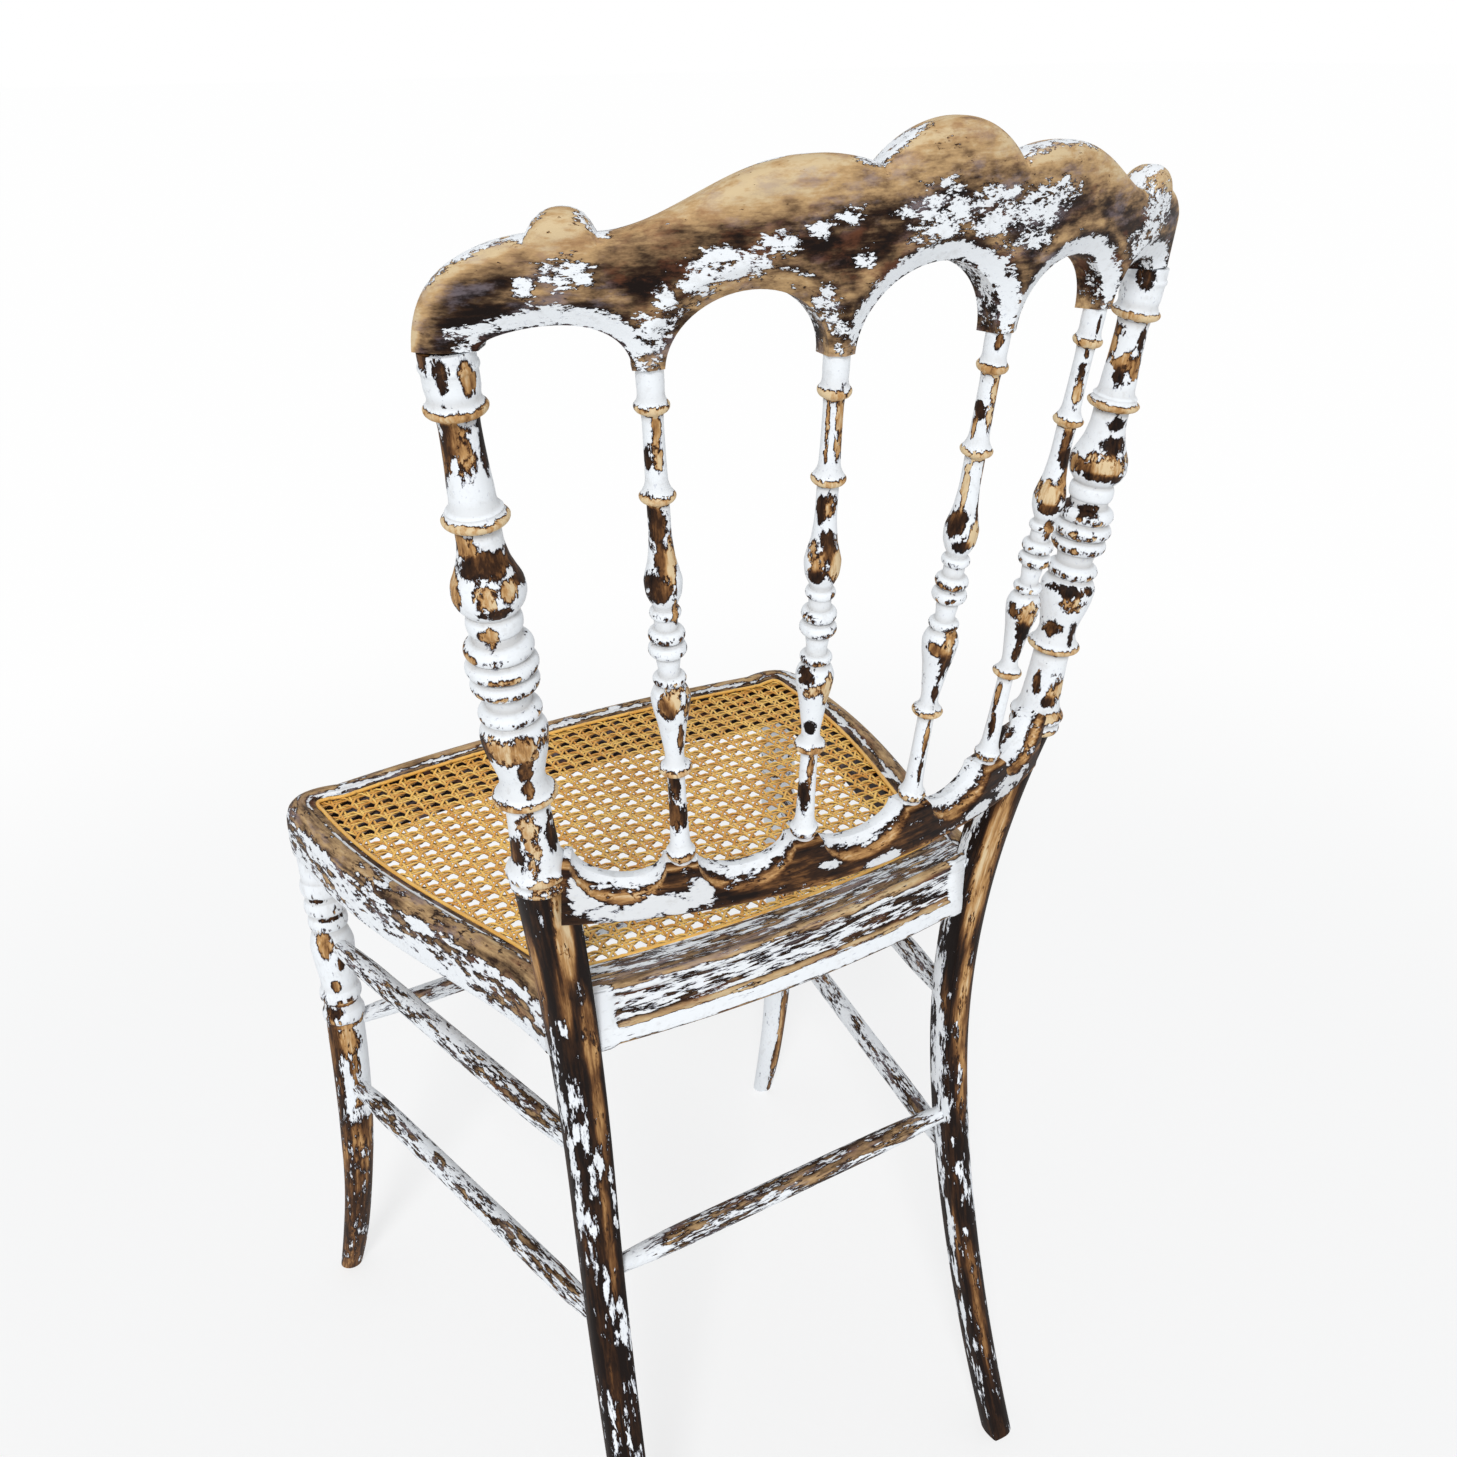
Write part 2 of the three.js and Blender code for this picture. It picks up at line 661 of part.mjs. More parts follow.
// A block on one side of the mitre through the left front corner
function mitreBlock(sense) {
  const size = 5 * RAIL_WIDTH;
  const height = 2 * (crownZ - railBottomZ);
  const block = new THREE.BoxGeometry(size, size, height).rotateZ(Math.PI / 4);
  const shift = (sense * (size - GAP)) / 2 / Math.SQRT2;
  return block.translate(CORNER_X + shift, CORNER_Y + shift, (crownZ + railBottomZ) / 2);
}

function frontRailSolid() {
  const block = mitreBlock(1);
  return solidOf(railSweep(railProfile, frontPath, RAIL_STEPS))
    .subtract(solidOf(block))
    .subtract(solidOf(mirrored(block)))
    .subtract(frontLegSolid(1, GAP))
    .subtract(frontLegSolid(-1, GAP));
}

// Round tenon from the rear end of the left side rail into the post
function sideRailTenon(grow) {
  const z = SEAT_Z - SIDE_TENON_DROP;
  const inside = rearLegCentre(z);
  const back = sidePath.getTangent(1);
  const end = inside.clone().addScaledVector(back, TENON_DEPTH - rearLegHalf(z));
  const start = end.clone().addScaledVector(back, -TENON_DEPTH - 14);
  return [start, end, RAIL_TENON_RADIUS, grow];
}

// Section points pushed outwards from the section's middle
function grown(points, middleZ, grow) {
  const push = (value, middle) => value + Math.sign(value - middle) * grow;
  return points.map(([out, z]) => [push(out, 0), push(z, middleZ)]);
}

function sideRailSweep(side, grow = 0) {
  const section = grown(railProfile, (railBottomZ + crownZ) / 2, grow);
  const sweep = railSweep(section, sidePath, RAIL_STEPS);
  return solidOf(side > 0 ? sweep : mirrored(sweep));
}

function sideRailSolid(side) {
  const hand = side > 0 ? (geometry) => geometry : mirrored;
  const handPoint = side > 0 ? (point) => point : mirroredPoint;
  const [from, to, radius] = sideRailTenon(0);
  return sideRailSweep(side)
    .subtract(solidOf(hand(mitreBlock(-1))))
    .subtract(frontLegSolid(side, GAP))
    .subtract(postSolid(side, GAP))
    .add(rod(handPoint(from), handPoint(to), radius));
}

// Round tenon from the left end of the rear rail into the post
function rearRailTenon(grow) {
  const z = SEAT_Z - REAR_TENON_DROP;
  const inside = rearLegCentre(z);
  const end = new THREE.Vector3(inside.x - rearLegHalf(z) + TENON_DEPTH, inside.y, z);
  const start = end.clone().add(new THREE.Vector3(-TENON_DEPTH - 12, 0, 0));
  return [start, end, RAIL_TENON_RADIUS, grow];
}

function rearRailSolid() {
  const sweep = solidOf(railSweep(rearRailProfile, rearPath, RAIL_STEPS));
  const fitted = sweep.subtract(sideRailSweep(1, GAP)).subtract(sideRailSweep(-1, GAP));
  return tenoned(fitted, rearRailTenon(0));
}

// Cane

// Points beside a level path, at a distance to its left
function beside(path, distance, count) {
  return path.getSpacedPoints(count).map((point, i) => {
    const tangent = path.getTangentAt(i / count);
    return new THREE.Vector2(point.x - tangent.y * distance, point.y + tangent.x * distance);
  });
}

function slab(points, low, high) {
  const outline = new THREE.Shape(points);
  const plate = new THREE.ExtrudeGeometry(outline, { depth: high - low, bevelEnabled: false });
  return solidOf(plate.translate(0, 0, low));
}

// The seat's opening between the four ledges, inset all round, from one height to another
function seatOpening(inset, low, high) {
  const left = beside(sidePath, inset - ledgeEdge, RAIL_STEPS);
  const right = left.map(({ x, y }) => new THREE.Vector2(-x, y)).reverse();
  const front = beside(frontPath, inset - ledgeEdge, RAIL_STEPS);
  const rear = beside(rearPath, inset - rearLedgeEdge, RAIL_STEPS);
  const wide = 2 * frontReach;
  const across = [
    ...front,
    new THREE.Vector2(wide, front[0].y),
    new THREE.Vector2(wide, rear[0].y),
    ...rear,
    new THREE.Vector2(-wide, rear[0].y),
    new THREE.Vector2(-wide, front[0].y),
  ];
  return slab([...left, ...right], low, high).intersect(slab(across, low, high));
}

// Half width of the seat's opening at a depth
function openingHalfWidth(y) {
  const edge = beside(sidePath, -ledgeEdge, 40);
  const next = edge.findIndex((point) => point.y > y);
  const [a, b] = [edge[Math.max(0, next - 1)], edge[Math.max(0, next)]];
  return Math.min(a.x, b.x);
}

const openingFrontY = CORNER_Y - ledgeEdge;
const openingRearY = REAR_RAIL_Y + rearLedgeEdge - REAR_RAIL_BOW;
const caneLow = ledgeZ + GAP;
const caneTop = caneLow + CANE_THICKNESS;

// Rows of the weave from front to back, and its columns either side of the middle
const caneRows = [];
for (let y = openingFrontY + CANE_MARGIN + CANE_HOLE / 2; y < openingRearY - CANE_HOLE; y += CANE_PITCH) {
  caneRows.push(y);
}
const caneColumns = [-4, -3, -2, -1, 0, 1, 2, 3, 4].map((k) => k * CANE_PITCH);

// Open gaps of the weave, one where each row crosses a column inside the frame
function caneHoles() {
  const holes = [];
  for (const y of caneRows) {
    const reach = Math.min(openingHalfWidth(y - CANE_HOLE / 2), openingHalfWidth(y + CANE_HOLE / 2));
    for (const x of caneColumns.filter((x) => Math.abs(x) + CANE_HOLE / 2 + CANE_MARGIN < reach)) {
      const hole = new THREE.BoxGeometry(CANE_HOLE, CANE_HOLE, 20).rotateZ(Math.PI / 4);
      holes.push(hole.translate(x, y, caneLow));
    }
  }
  return solidOf(mergeGeometries(holes));
}

// Raised strands from side to side between the rows of gaps
function caneStrands() {
  const strips = caneRows.slice(1).map((y) => {
    const strip = new THREE.BoxGeometry(4 * CORNER_X, STRAND_WIDTH, 2 * STRAND_HEIGHT);
    return strip.translate(0, y - CANE_PITCH / 2, caneTop);
  });
  const inner = seatOpening(GAP + CANE_MARGIN, caneLow - 1, caneTop + 1);
  return solidOf(mergeGeometries(strips)).intersect(inner);
}

function caneSolid() {
  return seatOpening(GAP, caneLow, caneTop).subtract(caneHoles()).add(caneStrands());
}

function binderSolid() {
  const low = caneTop + GAP;
  const high = low + BINDER_HEIGHT;
  return seatOpening(2 * GAP, low, high).subtract(seatOpening(2 * GAP + BINDER_WIDTH, low - 1, high + 1));
}

// Front legs

const legShoulder = railBottomZ - GAP;

const frontLegTurning = [
  [0, 0],
  [0, 8.2],
  [25, 9],
  [55, 9.6],
  [90, 9.9],
  [130, 10.6],
  [165, 11.6],
  [265, 12.8],
  ...ring(284, 14.2, 12, 12.4),
  ...ring(301, 14, 13, 12),
  [314, 12.2],
  [330, 13.8],
  [341, 14.4],
  [350, 12.4],
  ...ring(359.5, 13, 11, 11.6),
  ...ring(372, 13.6, 12, 12),
  ...ring(387, 14, 14, 12.2),
  [legShoulder, 12.6],
  [legShoulder, LEG_TENON_RADIUS],
  [legShoulder + LEG_TENON_LENGTH, LEG_TENON_RADIUS],
  [legShoulder + LEG_TENON_LENGTH, 0],
];

// Centre of the left front leg at a height
function frontLegCentre(z) {
  const bend = (Math.max(0, KNEE_Z - z) / KNEE_Z) ** SWEEP;
  const x = THREE.MathUtils.lerp(FRONT_LEG_X, FRONT_FOOT_X, bend);
  const y = THREE.MathUtils.lerp(FRONT_LEG_Y, FRONT_FOOT_Y, bend);
  return new THREE.Vector3(x, y, z);
}

function frontLegSolid(side, grow = 0) {
  const leg = reshape(turning(frontLegTurning, LEG_SIDES, grow), ({ x, y, z }) => {
    const centre = frontLegCentre(z);
    return new THREE.Vector3(side * (centre.x + x), centre.y + y, z);
  });
  return solidOf(leg);
}

// Stretchers

// A stretcher between two leg centres, swelling in the middle and entering both legs
function stretcherSolid(from, to, fromHalf, toHalf, grow = 0) {
  const length = from.distanceTo(to) - fromHalf - toHalf + 2 * TENON_DEPTH;
  const start = from.clone().lerp(to, (fromHalf - TENON_DEPTH) / from.distanceTo(to));
  const stations = [
    [0, 0],
    [0, STRETCHER_END_RADIUS],
    [TENON_DEPTH + 6, STRETCHER_END_RADIUS],
    [TENON_DEPTH + 50, STRETCHER_RADIUS],
    [length - TENON_DEPTH - 50, STRETCHER_RADIUS],
    [length - TENON_DEPTH - 6, STRETCHER_END_RADIUS],
    [length, STRETCHER_END_RADIUS],
    [length, 0],
  ];
  return solidOf(alongLine(turning(stations, LEG_SIDES, grow), start, to));
}

// Radius of the front leg at a height, from its turning
function frontLegHalf(z) {
  const next = frontLegTurning.findIndex(([height, radius]) => height > z && radius > 0);
  const [a, b] = [frontLegTurning[next - 1], frontLegTurning[next]];
  return THREE.MathUtils.lerp(a[1], b[1], (z - a[0]) / (b[0] - a[0]));
}

function sideStretcher(side, z, grow = 0) {
  const hand = side > 0 ? (point) => point : mirroredPoint;
  const rear = hand(rearLegCentre(z));
  const front = hand(frontLegCentre(z));
  return stretcherSolid(rear, front, rearLegHalf(z), frontLegHalf(z), grow);
}

function crossStretcher(centre, half, grow = 0) {
  return stretcherSolid(mirroredPoint(centre), centre, half, half, grow);
}

function frontStretcher(grow = 0) {
  return crossStretcher(frontLegCentre(FRONT_STRETCHER_Z), frontLegHalf(FRONT_STRETCHER_Z), grow);
}

function rearStretcher(grow = 0) {
  return crossStretcher(rearLegCentre(REAR_STRETCHER_Z), rearLegHalf(REAR_STRETCHER_Z), grow);
}

// Legs with their sockets

function rearPostWithSockets(side) {
  const hand = side > 0 ? (point) => point : mirroredPoint;
  let solid = postSolid(side);
  for (const [from, to, radius, grow] of [lowerRailTenon(GAP), sideRailTenon(GAP), rearRailTenon(GAP)]) {
    solid = solid.subtract(rod(hand(from), hand(to), radius, grow));
  }
  for (const z of [SIDE_UPPER_Z, SIDE_LOWER_Z]) {
    solid = solid.subtract(sideStretcher(side, z, GAP));
  }
  return solid.subtract(rearStretcher(GAP));
}

function frontLegWithSockets(side) {
  let solid = frontLegSolid(side);
  for (const z of [SIDE_UPPER_Z, SIDE_LOWER_Z]) {
    solid = solid.subtract(sideStretcher(side, z, GAP));
  }
  return solid.subtract(frontStretcher(GAP));
}

// Assembly

const chair = new THREE.Group();
const hands = [['left', 1], ['right', -1]];

chair.add(meshOf('crest_rail', crestSolid(), stripped));
chair.add(meshOf('lower_back_rail', lowerRailSolid(), paint));
spindlePlaces.forEach((place, i) => {
  chair.add(meshOf(`spindle_${i + 1}`, spindleSolid(place), paint));
});
chair.add(meshOf('seat_front_rail', frontRailSolid(), paint));
chair.add(meshOf('seat_rear_rail', rearRailSolid(), paint));
chair.add(meshOf('cane_panel', caneSolid(), straw));
chair.add(meshOf('cane_binder', binderSolid(), straw));
chair.add(meshOf('stretcher_front', frontStretcher(), paint));
chair.add(meshOf('stretcher_rear', rearStretcher(), paint));
for (const [hand, side] of hands) {
  chair.add(meshOf(`rear_post_${hand}`, rearPostWithSockets(side), stripped));
  chair.add(meshOf(`seat_${hand}_rail`, sideRailSolid(side), paint));
  chair.add(meshOf(`front_leg_${hand}`, frontLegWithSockets(side), paint));
  chair.add(meshOf(`stretcher_${hand}_upper`, sideStretcher(side, SIDE_UPPER_Z), paint));
  chair.add(meshOf(`stretcher_${hand}_lower`, sideStretcher(side, SIDE_LOWER_Z), paint));
}

// The origin is on the floor under the middle of the chair's box
const box = new THREE.Box3().setFromObject(chair);
chair.position.y = -(box.min.y + box.max.y) / 2;

export default chair;
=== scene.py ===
# %% [markdown]
# # A side chair with peeling paint
# The chair is turned and bent wood that was stained dark, painted white, and has since lost half of its
# paint. The pieces below are laid over a packed frame, which gives the sizes and the name of each part.
# Lengths in the formulas are millimetres, as a joiner would mark them, and become metres in a mesh.

# %% The frame, its units and its origin
import math

import bpy
import numpy as np
from mathutils import Matrix, Vector


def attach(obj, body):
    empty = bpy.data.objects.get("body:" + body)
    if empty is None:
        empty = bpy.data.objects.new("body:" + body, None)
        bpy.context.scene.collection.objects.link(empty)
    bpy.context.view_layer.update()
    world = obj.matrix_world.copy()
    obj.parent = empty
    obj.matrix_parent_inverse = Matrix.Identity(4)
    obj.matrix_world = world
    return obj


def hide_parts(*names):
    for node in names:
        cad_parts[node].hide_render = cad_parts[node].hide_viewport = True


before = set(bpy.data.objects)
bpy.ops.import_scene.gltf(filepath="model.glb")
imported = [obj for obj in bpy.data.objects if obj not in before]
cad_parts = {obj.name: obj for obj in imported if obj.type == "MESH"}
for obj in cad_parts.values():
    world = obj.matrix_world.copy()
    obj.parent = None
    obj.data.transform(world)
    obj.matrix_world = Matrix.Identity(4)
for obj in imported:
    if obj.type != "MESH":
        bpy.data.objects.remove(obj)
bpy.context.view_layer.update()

MM = 0.001
# The formulas measure depth from a line this far behind the frame's origin.
BACK_SHIFT = 150.46

# %% [markdown]
# ## From a grid of points to faces
# Every part of the chair is a bar of some section: a leg, a spindle, a rail. Each is computed as a
# grid, one row of points per station along the bar and one column per place round it, so the sides
# close on themselves and only the two ends need a cap.


# %% Faces of a grid
def grid_faces(rows, columns):
    """Quads between neighbouring rows of a grid whose last column joins its first."""
    row, column = np.meshgrid(np.arange(rows - 1), np.arange(columns), indexing="ij")
    beside = (column + 1) % columns
    here, above = row * columns, (row + 1) * columns
    corners = [here + column, here + beside, above + beside, above + column]
    return np.stack(corners, axis=-1).reshape(-1, 4)


def cap_faces(rows, columns):
    """Two fans of triangles from the middle of the first and last row to that row's edge."""
    edge = np.arange(columns)
    beside = (edge + 1) % columns
    first = np.stack([np.full(columns, rows * columns), beside, edge], axis=-1)
    start = (rows - 1) * columns
    last = np.stack([np.full(columns, rows * columns + 1), start + edge, start + beside], axis=-1)
    return np.concatenate([first, last])


def with_caps(values):
    """The grid's values in one list, followed by the mean of the first row and of the last row."""
    flat = values.reshape(-1, *values.shape[2:])
    return np.concatenate([flat, values[:1].mean(axis=1), values[-1:].mean(axis=1)])


def enclosed(points, quads, triangles):
    """Six times the volume inside the faces, positive when they all point outwards."""
    fans = np.concatenate([quads[:, [0, 1, 2]], quads[:, [0, 2, 3]], triangles])
    a, b, c = (points[fans[:, k]] for k in range(3))
    return float(np.einsum("ij,ij->i", a, np.cross(b, c)).sum())


print("two rows of four points have", len(grid_faces(2, 4)), "sides and", len(cap_faces(2, 4)), "cap faces")

# %% [markdown]
# ## Pieces that keep their wear
# The grid also carries what use and weather did: how bare the wood is, how far it was rubbed pale, and
# where dirt lies, with painted shade in hollows and creases. On cane the same values hold painted shade
# and each strand's tone. The grain is kept as coordinates along and across the bar. Each piece starts its
# grain at another place, so that no two show the same noise.

# %% Pieces
PIECES = {}
GRAIN_SHIFT = np.array([1730.0, 910.0, 0.0])
# Edges that bend by more degrees than this stay sharp.
PLAIN_CREASE, CARVED_CREASE, MOULDED_CREASE = 50, 38, 40


def fill_mesh(name, points, quads, triangles, crease):
    """A mesh of the quads and triangles over points in millimetres, smooth but for edges over the
    crease angle."""
    if enclosed(points - points.mean(axis=0), quads, triangles) < 0:
        quads, triangles = quads[:, ::-1], triangles[:, ::-1]
    mesh = bpy.data.meshes.new(name)
    placed = (points + (0.0, BACK_SHIFT, 0.0)) * MM
    corners = np.concatenate([quads.ravel(), triangles.ravel()]).astype(np.int32)
    totals = np.concatenate([np.full(len(quads), 4), np.full(len(triangles), 3)])
    mesh.vertices.add(len(placed))
    mesh.vertices.foreach_set("co", placed.astype(np.float32).ravel())
    mesh.loops.add(len(corners))
    mesh.loops.foreach_set("vertex_index", corners)
    mesh.polygons.add(len(totals))
    mesh.polygons.foreach_set("loop_start", (np.cumsum(totals) - totals).astype(np.int32))
    mesh.polygons.foreach_set("use_smooth", np.ones(len(totals), dtype=bool))
    mesh.update(calc_edges=True)
    mesh.validate()
    mesh.set_sharp_from_angle(angle=math.radians(crease))
    return mesh


def keep_facts(mesh, grain, bare, sand, grime):
    """Stores the grain coordinates in metres and three values at each vertex: bareness, paleness, and dirt
    with painted shade. On cane the bareness slot holds painted shade.
    """
    lines = mesh.attributes.new("grain", "FLOAT_VECTOR", "POINT")
    lines.data.foreach_set("vector", (grain * MM).astype(np.float32).ravel())
    for label, values in (("bare", bare), ("sand", sand), ("grime", grime)):
        wear = mesh.attributes.new(label, "FLOAT", "POINT")
        wear.data.foreach_set("value", values.astype(np.float32).ravel())


def stand(name, mesh, stands_for):
    """Puts the mesh in the scene on the chair's one body, in place of its frame nodes."""
    piece = bpy.data.objects.new(name, mesh)
    bpy.context.scene.collection.objects.link(piece)
    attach(piece, "root")
    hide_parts(*stands_for)
    PIECES[name] = piece
    print(f"{name}: {len(mesh.polygons)} faces")
    return piece


def bar_piece(name, points, grain, bare, sand, grime, stands_for, crease=PLAIN_CREASE):
    """One closed bar: its grid of points, its wear and painted shade, and the frame nodes it stands for."""
    rows, columns = points.shape[:2]
    own_grain = grain + GRAIN_SHIFT * len(PIECES)
    mesh = fill_mesh(name, with_caps(points), grid_faces(rows, columns), cap_faces(rows, columns), crease)
    keep_facts(mesh, with_caps(own_grain), with_caps(bare), with_caps(sand), with_caps(grime))
    return stand(name, mesh, stands_for)


print("each piece starts its grain", GRAIN_SHIFT, "mm after the one before")

# %% [markdown]
# ## The curve of the back
# Seen from above, the back is an arc; seen from the side, it leans. The bent rails and every upright
# follow that one surface, so it is written once: an arc whose radius and whose crown both grow with
# height.

# %% The back's surface
LOW_Z, HIGH_Z = 553.0, 776.0
LOW_Y, HIGH_Y = 44.0, 90.0
LOW_RADIUS, HIGH_RADIUS = 280.0, 295.0
DRAWN_SPAN = 223.0


def on_back(x, z, depth=0.0):
    """Points of the back at x and z: on a circle of the height's radius behind its crown, moved out by
    depth."""
    share = (z - LOW_Z) / (HIGH_Z - LOW_Z)
    radius = LOW_RADIUS + (HIGH_RADIUS - LOW_RADIUS) * share
    crown = LOW_Y + (HIGH_Y - LOW_Y) * share
    angle = np.arcsin(x / radius)
    reach = radius + depth
    return np.stack([reach * np.sin(angle), crown - radius + reach * np.cos(angle), z + 0.0 * angle], axis=-1)


def upright_line(low_x, high_x):
    """Foot, unit direction and stretch of the straight upright between its two places on the back."""
    low, high = on_back(np.array(low_x), np.array(LOW_Z)), on_back(np.array(high_x), np.array(HIGH_Z))
    length = np.linalg.norm(high - low)
    return low, (high - low) / length, length / DRAWN_SPAN


print("crown of the back", on_back(np.array(0.0), np.array(HIGH_Z)).round(1))

# %% [markdown]
# ## Turned profiles
# The uprights came off a lathe. A turner cuts the long hollows and swellings with one sweep and leaves
# beads and rims proud of them, some with a trumpet-shaped flare above. The profile does the same: a
# smooth curve through the necks and swellings, and the largest of it, the beads and the flares at each
# height.

# %% Profile of a turning
FLARE_POWER = 2.4


def swept_curve(keys, at):
    """Smooth curve through (height, value) keys: cubic pieces whose slopes never overshoot a key."""
    height, value = np.array(keys, dtype=float).T
    step = np.diff(height)
    slope = np.diff(value) / step
    left, right = slope[:-1], slope[1:]
    same = left * right > 0
    inner = np.where(same, 2 * left * right / np.where(same, left + right, 1.0), 0.0)
    tangent = np.concatenate([slope[:1], inner, slope[-1:]])
    k = np.clip(np.searchsorted(height, at) - 1, 0, len(step) - 1)
    t = np.clip((at - height[k]) / step[k], 0.0, 1.0)
    rest = 1.0 - t
    start = value[k] * (1 + 2 * t) * rest**2 + step[k] * tangent[k] * t * rest**2
    end = value[k + 1] * t**2 * (3 - 2 * t) - step[k] * tangent[k + 1] * t**2 * rest
    return start + end


def turned_radius(necks, beads, flares, at):
    """Radius at each height: the largest of the swept curve, half-ellipse beads and hollow flares above
    rims."""
    radius = swept_curve(necks, at)
    root = radius.copy()
    for middle, proud, above, below, _ in beads:
        across = (at - middle) / np.where(at > middle, above, below)
        bead = root + (proud - root) * np.sqrt(np.clip(1.0 - across**2, 0.0, None))
        radius = np.where(np.abs(across) < 1.0, np.maximum(radius, bead), radius)
    for start, proud, length in flares:
        up = np.clip((at - start) / length, 0.0, 1.0)
        flare = root + (proud - root) * (1.0 - up) ** FLARE_POWER
        radius = np.where((at >= start) & (up < 1.0), np.maximum(radius, flare), radius)
    return radius


plain_taper = turned_radius([(0, 4), (10, 2)], [], [], np.array([0.0, 5.0, 10.0]))
print("a plain taper from 4 to 2 mm has the radii", plain_taper.round(2))

# %% [markdown]
# ## How a turning wears
# Rims are rubbed bare first. The rest goes in scabs: each is an ellipse on the unrolled surface, given
# by its height, its place across, its two half sizes and how pale the wood in it is. Only the main
# scabs of the photograph are listed, and the paint's own noise tears their edges later. Dirt and painted
# shade lie in the hollows.

# %% Wear of a turning
CLEAN_PAINT, MOST_BARE, EDGE_STEEP = -0.46, 0.5, 0.45
PLACE_BLEND, BLEND_LIMITS, BLEND_LEAST = 3.5, (-30.0, 5.0), 1e-9
RIM_BAND, RIM_LOW, RIM_FULL, RIM_BARE, RIM_PALE = 2.3, 0.35, 1.5, 1.1, 2.0
LEAST_PALE, HOLLOW_ROWS, HOLLOW_DEPTH = 0.14, 6, 1.2


def ramp(value, start, end):
    """0 up to the start and 1 from the end on, with a straight line between them."""
    return np.clip((value - start) / (end - start), 0, 1)


def inside_ellipses(first, second, ellipses):
    """How deep a place lies in each ellipse: 1 in its middle, 0 on its edge and less outside. An
    ellipse starts with its two middles and its two half sizes."""
    first_at, second_at, first_half, second_half = np.array(ellipses, dtype=float).T[:4]
    first_part = ((first[..., None] - first_at) / first_half) ** 2
    return 1.0 - first_part - ((second[..., None] - second_at) / second_half) ** 2


def worn_places(places, along, across):
    """Bareness and paleness from a list of (along, across, half along, half across, pale) ellipses.
    Bareness is most in the middle of a place, 0 at its edge, and falls to that of clean paint
    outside."""
    pale = np.array(places, dtype=float)[:, 4]
    depth = inside_ellipses(along, across, places)
    weight = np.exp(np.clip(PLACE_BLEND * depth, *BLEND_LIMITS)) + BLEND_LEAST
    bare = np.clip(EDGE_STEEP * depth.max(axis=-1), CLEAN_PAINT, MOST_BARE)
    return bare, (weight * pale).sum(axis=-1) / weight.sum(axis=-1)


def rubbed_rims(beads, at):
    """How far each rim was rubbed bare: its own amount over the lower part of the bead, fading past it."""
    rub = np.zeros_like(at)
    for middle, _, _, below, amount in beads:
        away = np.abs(at - middle + RIM_LOW * below) / RIM_BAND
        rub = np.maximum(rub, amount * np.clip(RIM_FULL - away, 0.0, 1.0))
    return rub


def softened(values, reach):
    """Running mean of a profile over reach rows either side."""
    window = np.ones(2 * reach + 1) / (2 * reach + 1)
    return np.convolve(np.pad(values, reach, mode="edge"), window, mode="valid")


def turned_wear(places, beads, height, radius, across):
    """Bareness, paleness, and dirt with painted shade of a turning: its worn places, its rubbed rims,
    and its hollows.
    """
    bare, pale = worn_places(places, np.broadcast_to(height[:, None], across.shape), across)
    rub = rubbed_rims(beads, height)[:, None]
    # Dirt and painted shade: the deeper a hollow lies below its neighbours, the duller its paint.
    hollow = ramp(softened(radius, HOLLOW_ROWS) - radius, 0.0, HOLLOW_DEPTH)[:, None]
    pale = pale + (1.0 - pale) * np.clip(RIM_PALE * rub, 0, 1)
    sand = LEAST_PALE + (1.0 - LEAST_PALE) * pale
    return np.maximum(bare, RIM_BARE * rub + CLEAN_PAINT), sand, hollow + 0 * across


print("bareness runs from", CLEAN_PAINT, "under clean paint to", MOST_BARE, "in the middle of a scab")

# %% [markdown]
# ## Rear posts
# Each rear post is one length of wood: a sabre leg, round behind and flatter in front, that the lathe
# turned above the seat. Rims were rubbed first, so they are tan, and the flats of the swellings lost
# paint in large scabs. A bead is its height, its radius, its half heights above and below, and how far
# it was rubbed.

# %% Turning of the posts
POST_LOW_X, POST_HIGH_X = 150.8, 174.8
POST_NECKS = [
    (-12, 12.6), (11, 11), (22, 10.4), (35, 10), (44, 10.2), (52, 10.2), (58, 11.3), (66, 13.4),
    (72, 14.5), (76.5, 14.8), (80.5, 13.4), (83.5, 11.2), (93, 9.8), (97, 10.6), (122, 10.8), (125, 10.3),
    (135, 10.4), (137, 12), (140, 14.2), (144.5, 15.4), (148.5, 15), (154, 12.8), (160, 10.6), (168, 9.3),
    (177, 9.2), (187, 9.2), (200, 8.5), (215, 8.1), (226, 9.4), (231, 10.7), (247, 10.9),
]
POST_BEADS = [
    (-7, 14.4, 2.6, 3, 0.5), (0, 15.2, 2.6, 3.6, 0.45), (42.5, 14.7, 1.8, 2.8, 0.9),
    (87, 13.8, 3.4, 3.4, 0.4), (101.5, 14.8, 4.1, 4.1, 0.42), (110, 15.6, 4.2, 4.2, 0.42),
    (118.5, 14.8, 4.1, 4.1, 0.36), (130.5, 11.9, 4, 4, 0), (177.5, 13.7, 1.8, 3, 1),
    (181, 11.6, 1.2, 1.2, 0), (223, 12.5, 1.8, 3, 1), (239, 11.6, 1.4, 1.4, 0),
]
POST_FLARES = [(1.5, 14.4, 9), (43.5, 13.9, 9), (178.5, 12.6, 9), (224, 11.8, 7)]
